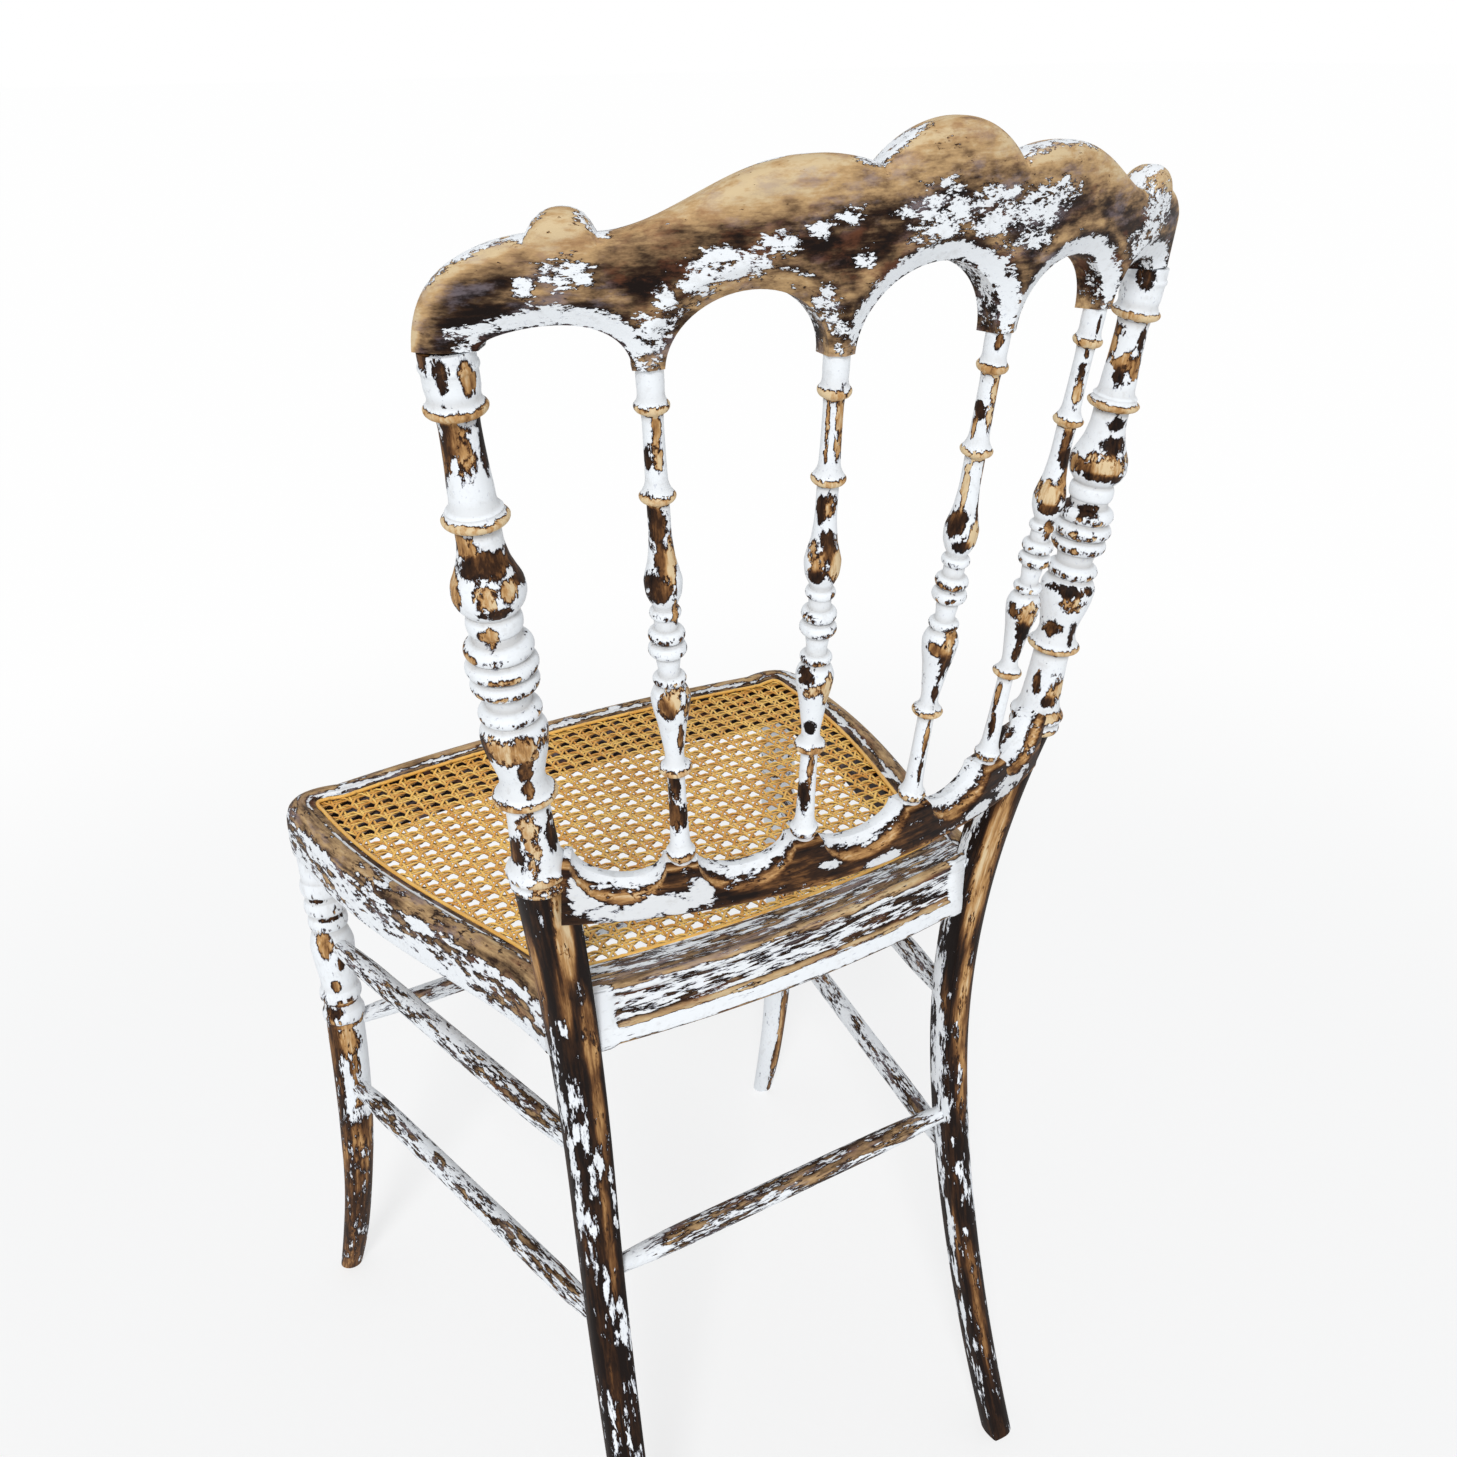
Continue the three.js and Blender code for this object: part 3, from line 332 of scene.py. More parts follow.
POST_PLACES_LEFT = [
    (241, -3, 8, 3, 0.2), (238, 6, 8, 3, 0.9), (244, -9, 6, 2, 0.6), (210, -1, 14, 5, 0.9),
    (213, -5, 14, 3, 0.2), (208, -9, 15, 2, 0.6), (208, 8, 12, 2, 0.1), (168, -7, 5, 6, 0.8),
    (160, 2, 6, 12, 0.25), (148, -1, 6, 5, 1), (148, 8, 6, 4, 0.8), (141, 2, 3, 7, 0),
    (151, -13, 10, 2, 0.9), (154, 13, 6, 3, 0.1), (128, -3, 5, 4, 0.9), (118, -13, 3, 3, 0.8),
    (73, -1, 7, 17, 0.9), (62, 2, 7, 4, 0.4), (72, -14, 7, 5, 0.1), (51, 2, 4, 3, 0.4),
    (22, -1, 16, 5, 1), (15, -9, 8, 6, 0), (21, 8, 11, 3, 0.1), (-2, 2, 4, 9, 0.9),
]
POST_PLACES_RIGHT = [
    (242, 0, 7, 5, 0.1), (214, -6, 4, 4, 0.4), (207, -8, 8, 3, 0.7), (210, 6, 7, 2, 0.1),
    (199, 1, 6, 6, 0.6), (192, -1, 7, 3, 0), (197, 6, 8, 3, 0.8), (169, 4, 4, 4, 0), (158, 5, 5, 7, 0.1),
    (148, 5, 7, 11, 1), (146, -7, 3, 7, 0.4), (142, 3, 3, 12, 0), (146, -12, 5, 3, 0.8),
    (123, -12, 4, 3, 0.1), (123, 1, 3, 5, 0), (78, 2, 3, 13, 0.1), (71, 5, 5, 7, 1), (55, -4, 5, 6, 0.4),
    (53, 8, 8, 2, 0.1), (22, -4, 8, 3, 0.3), (18, 7, 9, 5, 0.9), (12, 5, 4, 4, 0), (2, 8, 3, 8, 0.8),
]
print("post turned from", POST_NECKS[0], "to", POST_NECKS[-1], "with", len(POST_BEADS), "beads")

# %% [markdown]
# ## Sabre legs
# Below the lower rail the post goes on as a leg. From its waist it bends towards the post above and the
# foot below by a power of the height, which takes fewer numbers than a drawn curve. Its rings are
# circles pushed out towards a square in front and on the inner side. It lost most of its paint, but for
# runs along the grain.

# %% Sabre legs
WAIST_Z, LEG_TOP_Z, LEG_RINGS = 310.0, 541.0, 170
WAIST_XY, FOOT_XY = np.array([126.0, -40.5]), np.array([137.0, 9.0])
WAIST_HALF, TOP_HALF, FOOT_HALF = 11.2, 13.0, 9.4
BEND_ABOVE, BEND_BELOW = 2, 1.8
FRONT_BLUNTNESS, INNER_BLUNTNESS, LEG_DRAWN = 0.55, 0.75, 0.45
DARK_LEG, STREAK_PALE, STREAK_EDGE = 0.06, 1.15, 1.4
RUN_EDGE, RUN_STEEP, RUN_PAINT = 0.12, 0.62, -0.15
SPECKS, SPECKS_TOP, SPECKS_FULL = 0.2, 360.0, 300.0
LEG_PAINT_LEFT = [
    (445, -4, 9, 3), (400, -10, 40, 2), (384, -4, 26, 3), (356, 0, 34, 3), (345, 6, 14, 2),
    (325, -8, 50, 2), (290, -3, 22, 4), (318, 11, 40, 1), (258, 2, 18, 3), (236, 4, 34, 2),
    (222, 9, 24, 3), (170, -5, 30, 2), (150, 4, 34, 2), (108, 0, 26, 3), (70, -5, 30, 3), (40, 5, 24, 3),
]
LEG_PALE_LEFT = [
    (508, 5, 44, 6, 0.85), (470, 0, 40, 4, 0.5), (435, 9, 50, 5, 0.65), (380, 9, 70, 4, 0.6),
    (300, 6, 80, 4, 0.42), (480, -11, 50, 3, 0.5),
]
LEG_PAINT_RIGHT = [
    (515, -7, 32, 6), (470, -10, 50, 4), (430, -12, 60, 3), (375, -11, 45, 4), (312, -7, 44, 6),
    (284, -4, 34, 5), (225, -9, 40, 3), (150, -7, 50, 2), (95, -6, 50, 2), (240, 2, 5, 2), (219, 3, 5, 3),
    (168, 4, 3, 2), (225, 11, 50, 1), (40, -3, 26, 3),
]
LEG_PALE_RIGHT = [
    (450, 4, 80, 8, 0.75), (350, 6, 60, 6, 0.65), (345, -5, 30, 4, 0.5), (285, 8, 40, 5, 0.5),
    (120, 5, 70, 5, 0.5), (160, -2, 50, 3, 0.45),
]


def coordinates(*parts):
    """Grids, rows and columns of numbers joined to one grid of points."""
    return np.stack(np.broadcast_arrays(*parts), -1)


def rear_leg_centre(z):
    """Middle of the left rear leg: from the waist it leaves towards the post and the foot by a power of
    height."""
    top_xy = on_back(np.array(POST_LOW_X), np.array(LOW_Z))[:2]
    above = np.clip((z - WAIST_Z) / (LOW_Z - WAIST_Z), 0, None) ** BEND_ABOVE
    below = np.clip((WAIST_Z - z) / WAIST_Z, 0, None) ** BEND_BELOW
    return WAIST_XY + above[..., None] * (top_xy - WAIST_XY) + below[..., None] * (FOOT_XY - WAIST_XY)


def rear_leg_half(z):
    """Half the leg's width: waist to top above the waist, foot to waist below it."""
    above = WAIST_HALF + (TOP_HALF - WAIST_HALF) * ramp(z, WAIST_Z, LOW_Z)
    below = FOOT_HALF + (WAIST_HALF - FOOT_HALF) * ramp(z, 0.0, WAIST_Z)
    return np.where(z > WAIST_Z, above, below)


def leg_grain(points, z, centre):
    """Grain of a standing leg: the height, drawn out into runs, and the place across its section."""
    return coordinates(LEG_DRAWN * z[:, None], points[..., 0] - centre[:, :1], points[..., 1] - centre[:, 1:])


def leg_wear(paint, pale, z, across):
    """A rear leg is bare but for runs of paint, with more specks of it low down, and dark but for pale
    streaks."""
    level = np.broadcast_to(z[:, None], across.shape)
    runs = np.clip(EDGE_STEEP * inside_ellipses(level, across, paint).max(axis=-1), -MOST_BARE, MOST_BARE)
    tone = np.array(pale, dtype=float)[:, 4]
    streaks = np.clip(STREAK_EDGE * inside_ellipses(level, across, pale), 0, 1)
    sand = np.maximum(DARK_LEG, STREAK_PALE * (tone * streaks).max(axis=-1))
    most = MOST_BARE - SPECKS * ramp(level, SPECKS_TOP, SPECKS_FULL)
    return np.clip(RUN_EDGE - RUN_STEEP * runs, RUN_PAINT, most), sand, 0 * across


def sabre_leg(side, facing, turn, paint, pale):
    """Rings about the leg's middle, square in front and on the inner side and round at the outer back."""
    z = np.linspace(0.0, LEG_TOP_Z, LEG_RINGS)
    round_x, round_y = np.cos(turn + facing), np.sin(turn + facing)
    blunt = np.where(round_y < 0, FRONT_BLUNTNESS, np.where(round_x * side < 0, INNER_BLUNTNESS, 0.0))
    half = rear_leg_half(z)[:, None] / np.maximum(np.abs(round_x), np.abs(round_y)) ** blunt
    centre = rear_leg_centre(z) * (side, 1.0)
    points = coordinates(centre[:, :1] + half * round_x, centre[:, 1:] + half * round_y, z[:, None])
    return points, leg_grain(points, z, centre), *leg_wear(paint, pale, z, half * np.sin(turn))


print("left rear leg: foot and waist at", rear_leg_centre(np.array([0.0, WAIST_Z])).round(1).tolist())

# %% [markdown]
# ## Posts on their line
# The turned part stands on the straight line between two places on the back. Its rings start at the
# side that faces the camera, so a scab's place across is the radius times the sine of the turn. The
# leg's rings come first and the turned rings follow in the same grid, so that leg and post are one
# closed piece.

# %% Rear posts
FACING_LEFT, FACING_RIGHT = math.radians(70.5), math.radians(47.0)
POST_SIDES, POST_FROM, POST_TO, POST_STEP = 48, -10.0, 246.0, 0.7


def full_turn(sides):
    """Equal angles once round."""
    return np.linspace(0, 2 * np.pi, sides, endpoint=False)


def spokes_about(line, facing, turn):
    """Unit arms round a line, the first towards the compass angle that the piece faces."""
    outward = np.array([math.cos(facing), math.sin(facing), 0.0])
    outward -= line * (outward @ line)
    outward /= np.linalg.norm(outward)
    return np.cos(turn)[:, None] * outward + np.sin(turn)[:, None] * np.cross(line, outward)


def turned_rings(upright, facing, height, radius, turn):
    """Rings of the turned radius about an upright's line, with their grain and each point's place
    across."""
    foot, line, stretch = upright
    spokes = spokes_about(line, facing, turn)
    points = foot + (height * stretch)[:, None, None] * line + radius[:, None, None] * spokes
    across = radius[:, None] * np.sin(turn)
    return points, coordinates(height[:, None], radius[:, None] * np.cos(turn), across), across


def rear_post(name, side, facing, places, paint, pale):
    """The sabre leg's rings, then the turned rings about the leaning line, in one grid."""
    turn = full_turn(POST_SIDES)
    leg = sabre_leg(side, facing, turn, paint, pale)
    height = np.arange(POST_FROM, POST_TO, POST_STEP)
    radius = turned_radius(POST_NECKS, POST_BEADS, POST_FLARES, height)
    upright = upright_line(side * POST_LOW_X, side * POST_HIGH_X)
    points, grain, across = turned_rings(upright, facing, height, radius, turn)
    wear = turned_wear(places, POST_BEADS, height, radius, across)
    turning = (points, grain + (LOW_Z, 0.0, 0.0), *wear)
    joined = [np.concatenate(pair) for pair in zip(leg, turning)]
    return bar_piece(name, *joined, [name])


rear_post("rear_post_left", 1, FACING_LEFT, POST_PLACES_LEFT, LEG_PAINT_LEFT, LEG_PALE_LEFT)
rear_post("rear_post_right", -1, FACING_RIGHT, POST_PLACES_RIGHT, LEG_PAINT_RIGHT, LEG_PALE_RIGHT)

# %% [markdown]
# ## Spindles
# Four thin spindles repeat the posts' turning at half the size. Each was rubbed in other places. A
# spindle's line is its place on the low arc, its place on the high arc, and the angle of the side that
# faces the camera.

# %% Spindles
SPINDLE_SIDES, SPINDLE_FROM, SPINDLE_TO, SPINDLE_STEP = 36, -3.6, 237.5, 0.6
SPINDLE_NECKS = [
    (-4, 5.4), (12, 4.5), (30, 4.1), (45, 4), (52, 4.3), (58, 4.3), (66, 5.2), (76, 6.6), (85, 8.3),
    (89, 8.7), (93, 7.6), (96, 5.6), (103.5, 4.7), (108, 5.2), (126, 5), (134, 4.9), (137, 6.2),
    (141, 7.6), (146, 8), (150, 7.2), (157, 5.6), (170, 4.6), (184, 4.6), (200, 4.3), (214, 4.2),
    (222, 4.8), (231, 5.4), (238, 5.4),
]
SPINDLE_BEADS = [
    (2.5, 7, 2, 3.2, 0.6), (51, 7.7, 1.4, 2.4, 0.85), (98.5, 7.3, 2.2, 2.2, 0.36),
    (113.5, 8.3, 3.2, 3.2, 0.4), (120.5, 7.9, 3, 3, 0.4), (131, 6.7, 2.2, 2.2, 0.3),
    (184, 7.5, 1.4, 2.4, 0.9), (221.5, 7.1, 1.6, 2.6, 0.9),
]
SPINDLE_FLARES = [(3.5, 6.4, 7), (52, 7.1, 6), (185, 6.9, 7), (222.5, 6.4, 6)]
SPINDLE_PLACES = {
    "spindle_1": [
        (213, 1, 9, 2, 0.6), (204, 1, 8, 2, 0.7), (202, -3, 6, 1.5, 0), (172, -1, 11, 4, 0.4),
        (176, -3, 10, 2, 0), (145, -2, 7, 6, 0.2), (156, 3, 13, 3, 1), (158, 0, 14, 3, 0.3),
        (133, 4, 7, 1.5, 0.8), (92, 2, 6, 5, 1), (87, -2, 6, 4, 0.3), (87, 7, 9, 2, 0.9),
        (69, 3, 9, 1.5, 0.4), (41, -1, 8, 3, 0.3), (27, -2, 12, 3, 0.4), (26, 2, 7, 2, 0),
    ],
    "spindle_2": [
        (209, 3, 15, 2, 0.9), (209, -2, 14, 1, 0.7), (174, 1, 8, 3, 0.8), (172, -2, 7, 2, 0),
        (156, 1, 8, 4, 0.4), (149, -3, 8, 4, 0.9), (142, -2, 4, 4, 0), (145, 6, 8, 3, 1),
        (161, 7, 9, 2, 0.8), (84, -1, 5, 4, 1), (84, 6, 8, 3, 1), (91, -3, 4, 4, 0.1), (63, -1, 4, 3, 0),
        (40, 1, 14, 1.5, 0.8), (23, -1, 9, 3, 0.3),
    ],
    "spindle_3": [
        (233, 1, 4, 2, 0.7), (208, 3, 12, 2, 1), (203, -2, 4, 2, 0), (196, -3, 7, 1, 0.8),
        (174, 5, 8, 1, 0.6), (162, 6, 10, 1.5, 0.1), (167, -2, 15, 1.5, 0.9), (151, -3, 7, 4, 0.2),
        (141, 1, 4, 4, 0), (146, 6, 7, 3, 1), (88, -3, 4, 4, 0.6), (90, 4, 9, 3, 1), (81, 4, 8, 3, 0.1),
        (66, 2, 9, 1.5, 0), (37, 2, 14, 1.2, 0.7), (16, 2, 7, 1, 0.2),
    ],
    "spindle_4": [
        (230, 3, 5, 1, 0.1), (216, 1, 3, 1.5, 0.6), (208, 1, 5, 2.5, 0.3), (200, 1, 9, 2, 0.9),
        (176, 1, 8, 2.5, 0.6), (166, 3, 7, 3, 0), (157, 4, 7, 2.5, 0.8), (149, 0, 6, 7, 0.9),
        (142, 1, 3, 6, 0.1), (131, 3, 6, 2.5, 0.5), (87, -5, 4, 3, 0.2), (87, 3, 7, 5, 1),
        (77, 2, 8, 3, 0), (66, 2, 7, 2, 0.3), (36, -2, 12, 1.5, 0.5), (19, -1, 8, 1.5, 0.2),
    ],
}
SPINDLE_LINES = {
    "spindle_1": (91.5, 111.0, 63.8),
    "spindle_2": (32.0, 40.0, 57.6),
    "spindle_3": (-32.0, -40.0, 52.2),
    "spindle_4": (-91.5, -111.0, 48.8),
}


def spindle(name):
    """Rings of the turned radius about the leaning line, the first point of each on the side that faces
    the camera."""
    low_x, high_x, facing = SPINDLE_LINES[name]
    turn = full_turn(SPINDLE_SIDES)
    height = np.arange(SPINDLE_FROM, SPINDLE_TO, SPINDLE_STEP)
    radius = turned_radius(SPINDLE_NECKS, SPINDLE_BEADS, SPINDLE_FLARES, height)
    upright = upright_line(low_x, high_x)
    points, grain, across = turned_rings(upright, math.radians(facing), height, radius, turn)
    wear = turned_wear(SPINDLE_PLACES[name], SPINDLE_BEADS, height, radius, across)
    return bar_piece(name, points, grain, *wear, [name])


for label in SPINDLE_LINES:
    spindle(label)

# %% [markdown]
# ## Outline of the crest
# The crest is sawn from a thick board, bent to the back's arc, and shaped: humps and ears along the
# top, five arches below with a bevel round each on the back, and a drop over every spindle. Both halves
# are alike, so the outline is written once over the reach from the middle. An arch is its start, its
# end and its rise.

# %% Crest outline
DROP_RISE, DROP_HALF, END_RISE, END_X, END_WIDTH = 13.0, 5.6, 22.0, 185.5, 19.0
INNER_DROP, OUTER_DROP = 40.47, 112.6
ARCHES = [
    (DROP_HALF - INNER_DROP, INNER_DROP - DROP_HALF, 46.0),
    (INNER_DROP + DROP_HALF, OUTER_DROP - DROP_HALF, 41.0),
    (OUTER_DROP + DROP_HALF, END_X - END_WIDTH, 31.0),
]
PEAK, NOTCH, NOTCH_X, HUMP, HUMP_X, FALL_POWER = 98.5, 83.3, 32.0, 87.5, 55.0, 1.2
EAR_X, EAR_HALF, EAR_RISE, EAR_HEIGHT = 141.5, 10.0, 72.3, 9.0
SHOULDER_RISE, SHOULDER_WIDTH, END_HEIGHT = 63.5, 38.0, 10.0
FAR_OFF, TINY = 99.0, 1e-6


def half_ellipse(x, start, end):
    """0 at both ends of a span and 1 at its middle, along half an ellipse."""
    return np.sqrt(np.clip(1.0 - ((2 * x - start - end) / (end - start)) ** 2, 0.0, None))


def crest_top(reach):
    """Rise of the top edge: middle arc to the notch, hump, long fall to the ear, ear, and the shoulder."""
    depth = PEAK - NOTCH
    arc = (NOTCH_X**2 + depth**2) / (2 * depth)
    root = EAR_RISE - EAR_HEIGHT
    ear_start = EAR_X - EAR_HALF
    middle = PEAK - arc + np.sqrt(np.clip(arc**2 - reach**2, 0, None))
    hump = HUMP - (HUMP - NOTCH) * ((HUMP_X - reach) / (HUMP_X - NOTCH_X)) ** 2
    fall = ramp(reach, HUMP_X, ear_start) ** FALL_POWER
    slope = root + (HUMP - root) * (1 + np.cos(np.pi * fall)) / 2
    ear = root + EAR_HEIGHT * half_ellipse(reach, ear_start, EAR_X + EAR_HALF)
    out = np.clip((reach - (END_X - SHOULDER_WIDTH)) / SHOULDER_WIDTH, 0, 1)
    base = END_RISE + END_HEIGHT
    shoulder = base + (SHOULDER_RISE - base) * np.sqrt(1 - out**2)
    steps = [reach <= NOTCH_X, reach <= HUMP_X, reach <= ear_start, reach <= EAR_X + EAR_HALF]
    return np.select(steps, [middle, hump, slope, ear], shoulder)


def arch_spring(reach):
    """Rise of the line that an arch springs from: level, but sloping up to the post in the outer arch."""
    start, end, _ = ARCHES[2]
    return DROP_RISE + (END_RISE - DROP_RISE) * ramp(reach, start, end)


def crest_under(reach):
    """Rise of the underside: half an ellipse above the spring line in each arch, flat under drops and
    ends."""
    spring = arch_spring(reach)
    under = spring
    for start, end, rise in ARCHES:
        inside = (reach > start) & (reach < end)
        under = np.where(inside, spring + (rise - spring) * half_ellipse(reach, start, end), under)
    return under


def arch_distance(reach, rise):
    """Distance of a place on the face from the nearest arch's edge, by the ellipse's own slope."""
    spring = arch_spring(reach)
    nearest = np.full(np.broadcast(reach, rise).shape, FAR_OFF)
    for start, end, top in ARCHES:
        half, tall = (end - start) / 2, top - spring
        u = (reach - (start + end) / 2) / half
        v = np.clip(rise - spring, 0, None) / tall
        rho = np.sqrt(u**2 + v**2) + TINY
        steep = np.sqrt((u / half) ** 2 + (v / tall) ** 2) / rho + TINY
        nearest = np.minimum(nearest, np.clip((rho - 1) / steep, 0, None))
    return nearest


print("crest at its middle, ear and end rises", crest_top(np.array([0.0, EAR_X, END_X])).round(1), "mm")

# %% [markdown]
# ## What was left on the crest
# The crest's back looks scraped. Lacy islands of paint stayed on the face, strips of it along the top
# edge, and a film on the bevels, except in the second arch from the left, which keeps a thin line. The
# wood is tan along the top, round the arches and at the tips of the drops, and dark between.

# %% Crest wear
BEVEL_WIDTH, BEVEL_DEPTH, BEVEL_PAINT = 9.5, 5.6, 7.5
NO_PAINT, MOST_ISLAND, MOST_STRIP = -0.85, 0.2, 0.4
ISLAND_STEEP, ISLAND_LESS, STRIP_STEEP, STRIP_DEPTH = 0.42, 0.1, 0.4, 4.0
WORN_ARCH_X, WORN_ARCH_HALF, WORN_ARCH_RUB = 76.0, 33.0, 1.3
BEVEL_FILM, BEVEL_FADE, ARRIS_RUB, ARRIS_WIDTH = 0.75, 3.0, 0.8, 2.2
LINE_OUT, LINE_HALF = 1.0, 1.4
LEFT_RUB, LEFT_RUB_X = 0.6, (152.0, 162.0)
TIP_RUB, TIP_BESIDE, TIP_ABOVE = 0.55, (10.4, 2.4), (9.0, 3.0)
LIP_DEPTH, LIP_LESS, LIP_LESS_X, LIP_POWER = 34.0, 15.0, 150.0, 0.9
RIM_OUT, RIM_HALF = 3.0, 4.0
DARK_END_X, DARK_END_DEPTH, END_EDGE, ARCH_EDGE = (142.0, 168.0), 9.0, (3.5, 0.5), 3.0
CREST_PALE = {
    "whole face": 1.08,
    "below the lip": -1.05,
    "rim of the arches": 0.5,
    "dark ends": -0.4,
    "tips of the drops": 0.6,
    "end edges": 0.9,
    "worn arch": 0.6,
}
CREST_PAINT = [
    (140, 50, 8, 5), (152, 45, 3, 4), (170, 29, 4, 4), (113, 26, 6, 10), (108, 41, 4, 5), (88, 51, 14, 6),
    (97, 45, 6, 5), (72, 58, 8, 4), (56, 62, 5, 3), (45, 66, 5, 3), (38, 50, 4, 3), (22, 66, 6, 2),
    (7, 64, 12, 11), (-20, 68, 13, 5), (-18, 58, 10, 4), (-42, 64, 15, 7), (-54, 70, 9, 4),
    (-40, 51, 10, 4), (-136, 51, 13, 12), (-122, 41, 11, 6), (51, 36, 3, 7), (-27, 38, 5, 12),
]
EVEN_TOP = [(0, 98), (32, 88), (55, 86), (100, 75), (131, 66), (152, 62), (170, 54), (185, 34)]
EDGE_PAINT = [
    (174, 12, 0.3), (151, 4, 0.3), (131, 4, 0.2), (28, 10, 0.3), (-36, 12, 0.3), (-62, 16, 0.0),
    (-165, 28, 0.45),
]


def band(value, middle, half):
    """1 on the middle, falling off to both sides like a bell."""
    return np.exp(-(((value - middle) / half) ** 2))


def weighed(zones, amounts):
    """The sum of each amount times its zone's share."""
    return sum(amount * zones[name] for name, amount in amounts.items())


def worn_arch(x):
    """1 in the arch whose bevel was rubbed bare, falling off steeply beside it."""
    return np.exp(-(((x - WORN_ARCH_X) / WORN_ARCH_HALF) ** 4))


def bevel_paint(x, edge):
    """Paint on the bevels by distance from the arch's edge: a film, thin on the arris and towards the
    left post, and rubbed off the worn arch but for a line along the bevel's outer edge."""
    film = BEVEL_FILM * np.clip((BEVEL_PAINT - edge) / BEVEL_FADE, -1, 1)
    rubbed = WORN_ARCH_RUB * worn_arch(x) + ARRIS_RUB * ramp(edge, ARRIS_WIDTH, 0.0)
    line = band(edge, BEVEL_PAINT + LINE_OUT, LINE_HALF) * worn_arch(x) + NO_PAINT
    return np.maximum(film - rubbed, line) - LEFT_RUB * ramp(x, *LEFT_RUB_X)


def crest_paint(x, rise, top, edge):
    """Paint left on the crest: the most of the islands, the strips along the top edge and the bevels."""
    islands = ISLAND_STEEP * inside_ellipses(x, rise, CREST_PAINT).max(axis=-1) - ISLAND_LESS
    at, half, more = np.array(EDGE_PAINT).T
    strips = (more + STRIP_STEEP * (1 - ((x[..., None] - at) / half) ** 2)).max(axis=-1)
    at_top = ramp(top - rise, STRIP_DEPTH, 0.0)
    strips = np.clip(strips, NO_PAINT, MOST_STRIP) * at_top + NO_PAINT * (1 - at_top)
    return np.maximum(np.maximum(np.clip(islands, NO_PAINT, MOST_ISLAND), strips), bevel_paint(x, edge))


def drop_tip(reach, rise):
    """1 at the tip of each drop, fading to both sides and up the face."""
    beside = np.minimum(np.abs(reach - INNER_DROP), np.abs(reach - OUTER_DROP))
    return ramp(rise - DROP_RISE, *TIP_ABOVE) * ramp(beside, *TIP_BESIDE)


def crest_tone(x, rise, edge, tip):
    """How far the crest's wood was rubbed pale, from the zones of its face."""
    reach = np.abs(x)
    below_top = np.interp(reach, *np.array(EVEN_TOP).T) - rise
    below_lip = np.clip(below_top / (LIP_DEPTH - LIP_LESS * ramp(reach, 0.0, LIP_LESS_X)), 0, 1)
    zones = {
        "whole face": 1.0,
        "below the lip": below_lip**LIP_POWER,
        "rim of the arches": band(edge, BEVEL_WIDTH + RIM_OUT, RIM_HALF) * below_lip,
        "dark ends": ramp(reach, *DARK_END_X) * ramp(below_top, 0.0, DARK_END_DEPTH),
        "tips of the drops": tip,
        "end edges": ramp(END_X - reach, *END_EDGE),
        "worn arch": worn_arch(x) * ramp(edge, BEVEL_WIDTH, BEVEL_WIDTH - ARCH_EDGE),
    }
    return np.clip(weighed(zones, CREST_PALE), 0.0, 1)


print("crest keeps", len(CREST_PAINT), "islands of paint and", len(EDGE_PAINT), "strips along its top edge")

# %% [markdown]
# ## Crest rail
# The board's loop goes up the back, over the rounded top and down the front at each station. Stations
# crowd where an arch turns down, and points crowd at the edges, so that the bevel and the round stay
# crisp. The front has a shallower bevel than the back.

# %% Crest rail
CREST_HALF, TOP_ROUND, FRONT_BEVEL, THINNEST = 10.0, 8.5, 0.4, 0.6
END_TAPER, END_THIN = 12.0, 3.5
CREST_BACK_POINTS, CREST_FRONT_POINTS, ARCH_STATIONS, SHORT_RUN = 44, 36, 34, 0.5


def clustered(count, low, high):
    """Values from low to high that crowd towards both ends along a cosine."""
    return low + (high - low) * (1 - np.cos(np.linspace(0, np.pi, count))) / 2


def both_halves(keys, count):
    """Stations along a rail that crowd at the keys of its left half, and the same on its right half."""
    spans = [(low, high) for low, high in zip(keys[:-1], keys[1:]) if high - low > SHORT_RUN]
    half = np.concatenate([clustered(count, low, high)[:-1] for low, high in spans] + [keys[-1:]])
    return np.unique(np.concatenate([-half, half]).round(4))[:, None]


def up_and_down(back_points, front_points):
    """Shares of the way up, for a loop that goes up the back and down the front, and 1 or -1 for back
    or front."""
    up = np.concatenate([clustered(back_points, 0.0, 1.0), clustered(front_points, 1.0, 0.0)])
    return up, np.concatenate([np.ones(back_points), -np.ones(front_points)])


def crest_rail():
    """Depth from the middle is the half thickness, less a quarter round at the top and a sloping bevel
    by distance from the arch. The ends are thinner."""
    arch_ends = [edge for start, end, _ in ARCHES for edge in (max(start, 0.0), end)]
    x = both_halves([0.0] + arch_ends + [END_X], ARCH_STATIONS)
    reach = np.abs(x)
    up, back = up_and_down(CREST_BACK_POINTS, CREST_FRONT_POINTS)
    top, under = crest_top(reach), crest_under(reach)
    rise = under + (top - under) * up
    edge = arch_distance(reach, rise)
    round_off = ramp(top - rise, TOP_ROUND, 0.0)
    end = ramp(reach, END_X - END_TAPER, END_X) ** 2
    half = CREST_HALF - END_THIN * end - TOP_ROUND * (1 - np.sqrt(1 - round_off**2))
    bevel = np.where(back > 0, BEVEL_DEPTH, FRONT_BEVEL * BEVEL_DEPTH) * ramp(edge, BEVEL_WIDTH, 0.0)
    depth = back * np.clip(half - bevel * (1 - end), THINNEST, None)
    points = on_back(x + 0 * rise, HIGH_Z + rise, depth)

    seen_x = np.where(back > 0, x, -x)
    tip = drop_tip(reach, rise)
    paint = crest_paint(seen_x, rise, top, edge) - TIP_RUB * tip
    sand = crest_tone(seen_x, rise, edge, tip)
    grain = coordinates(x, rise, depth)
    return bar_piece("crest_rail", points, grain, -paint, sand, 0 * rise, ["crest_rail"], CARVED_CREASE)


crest_rail()

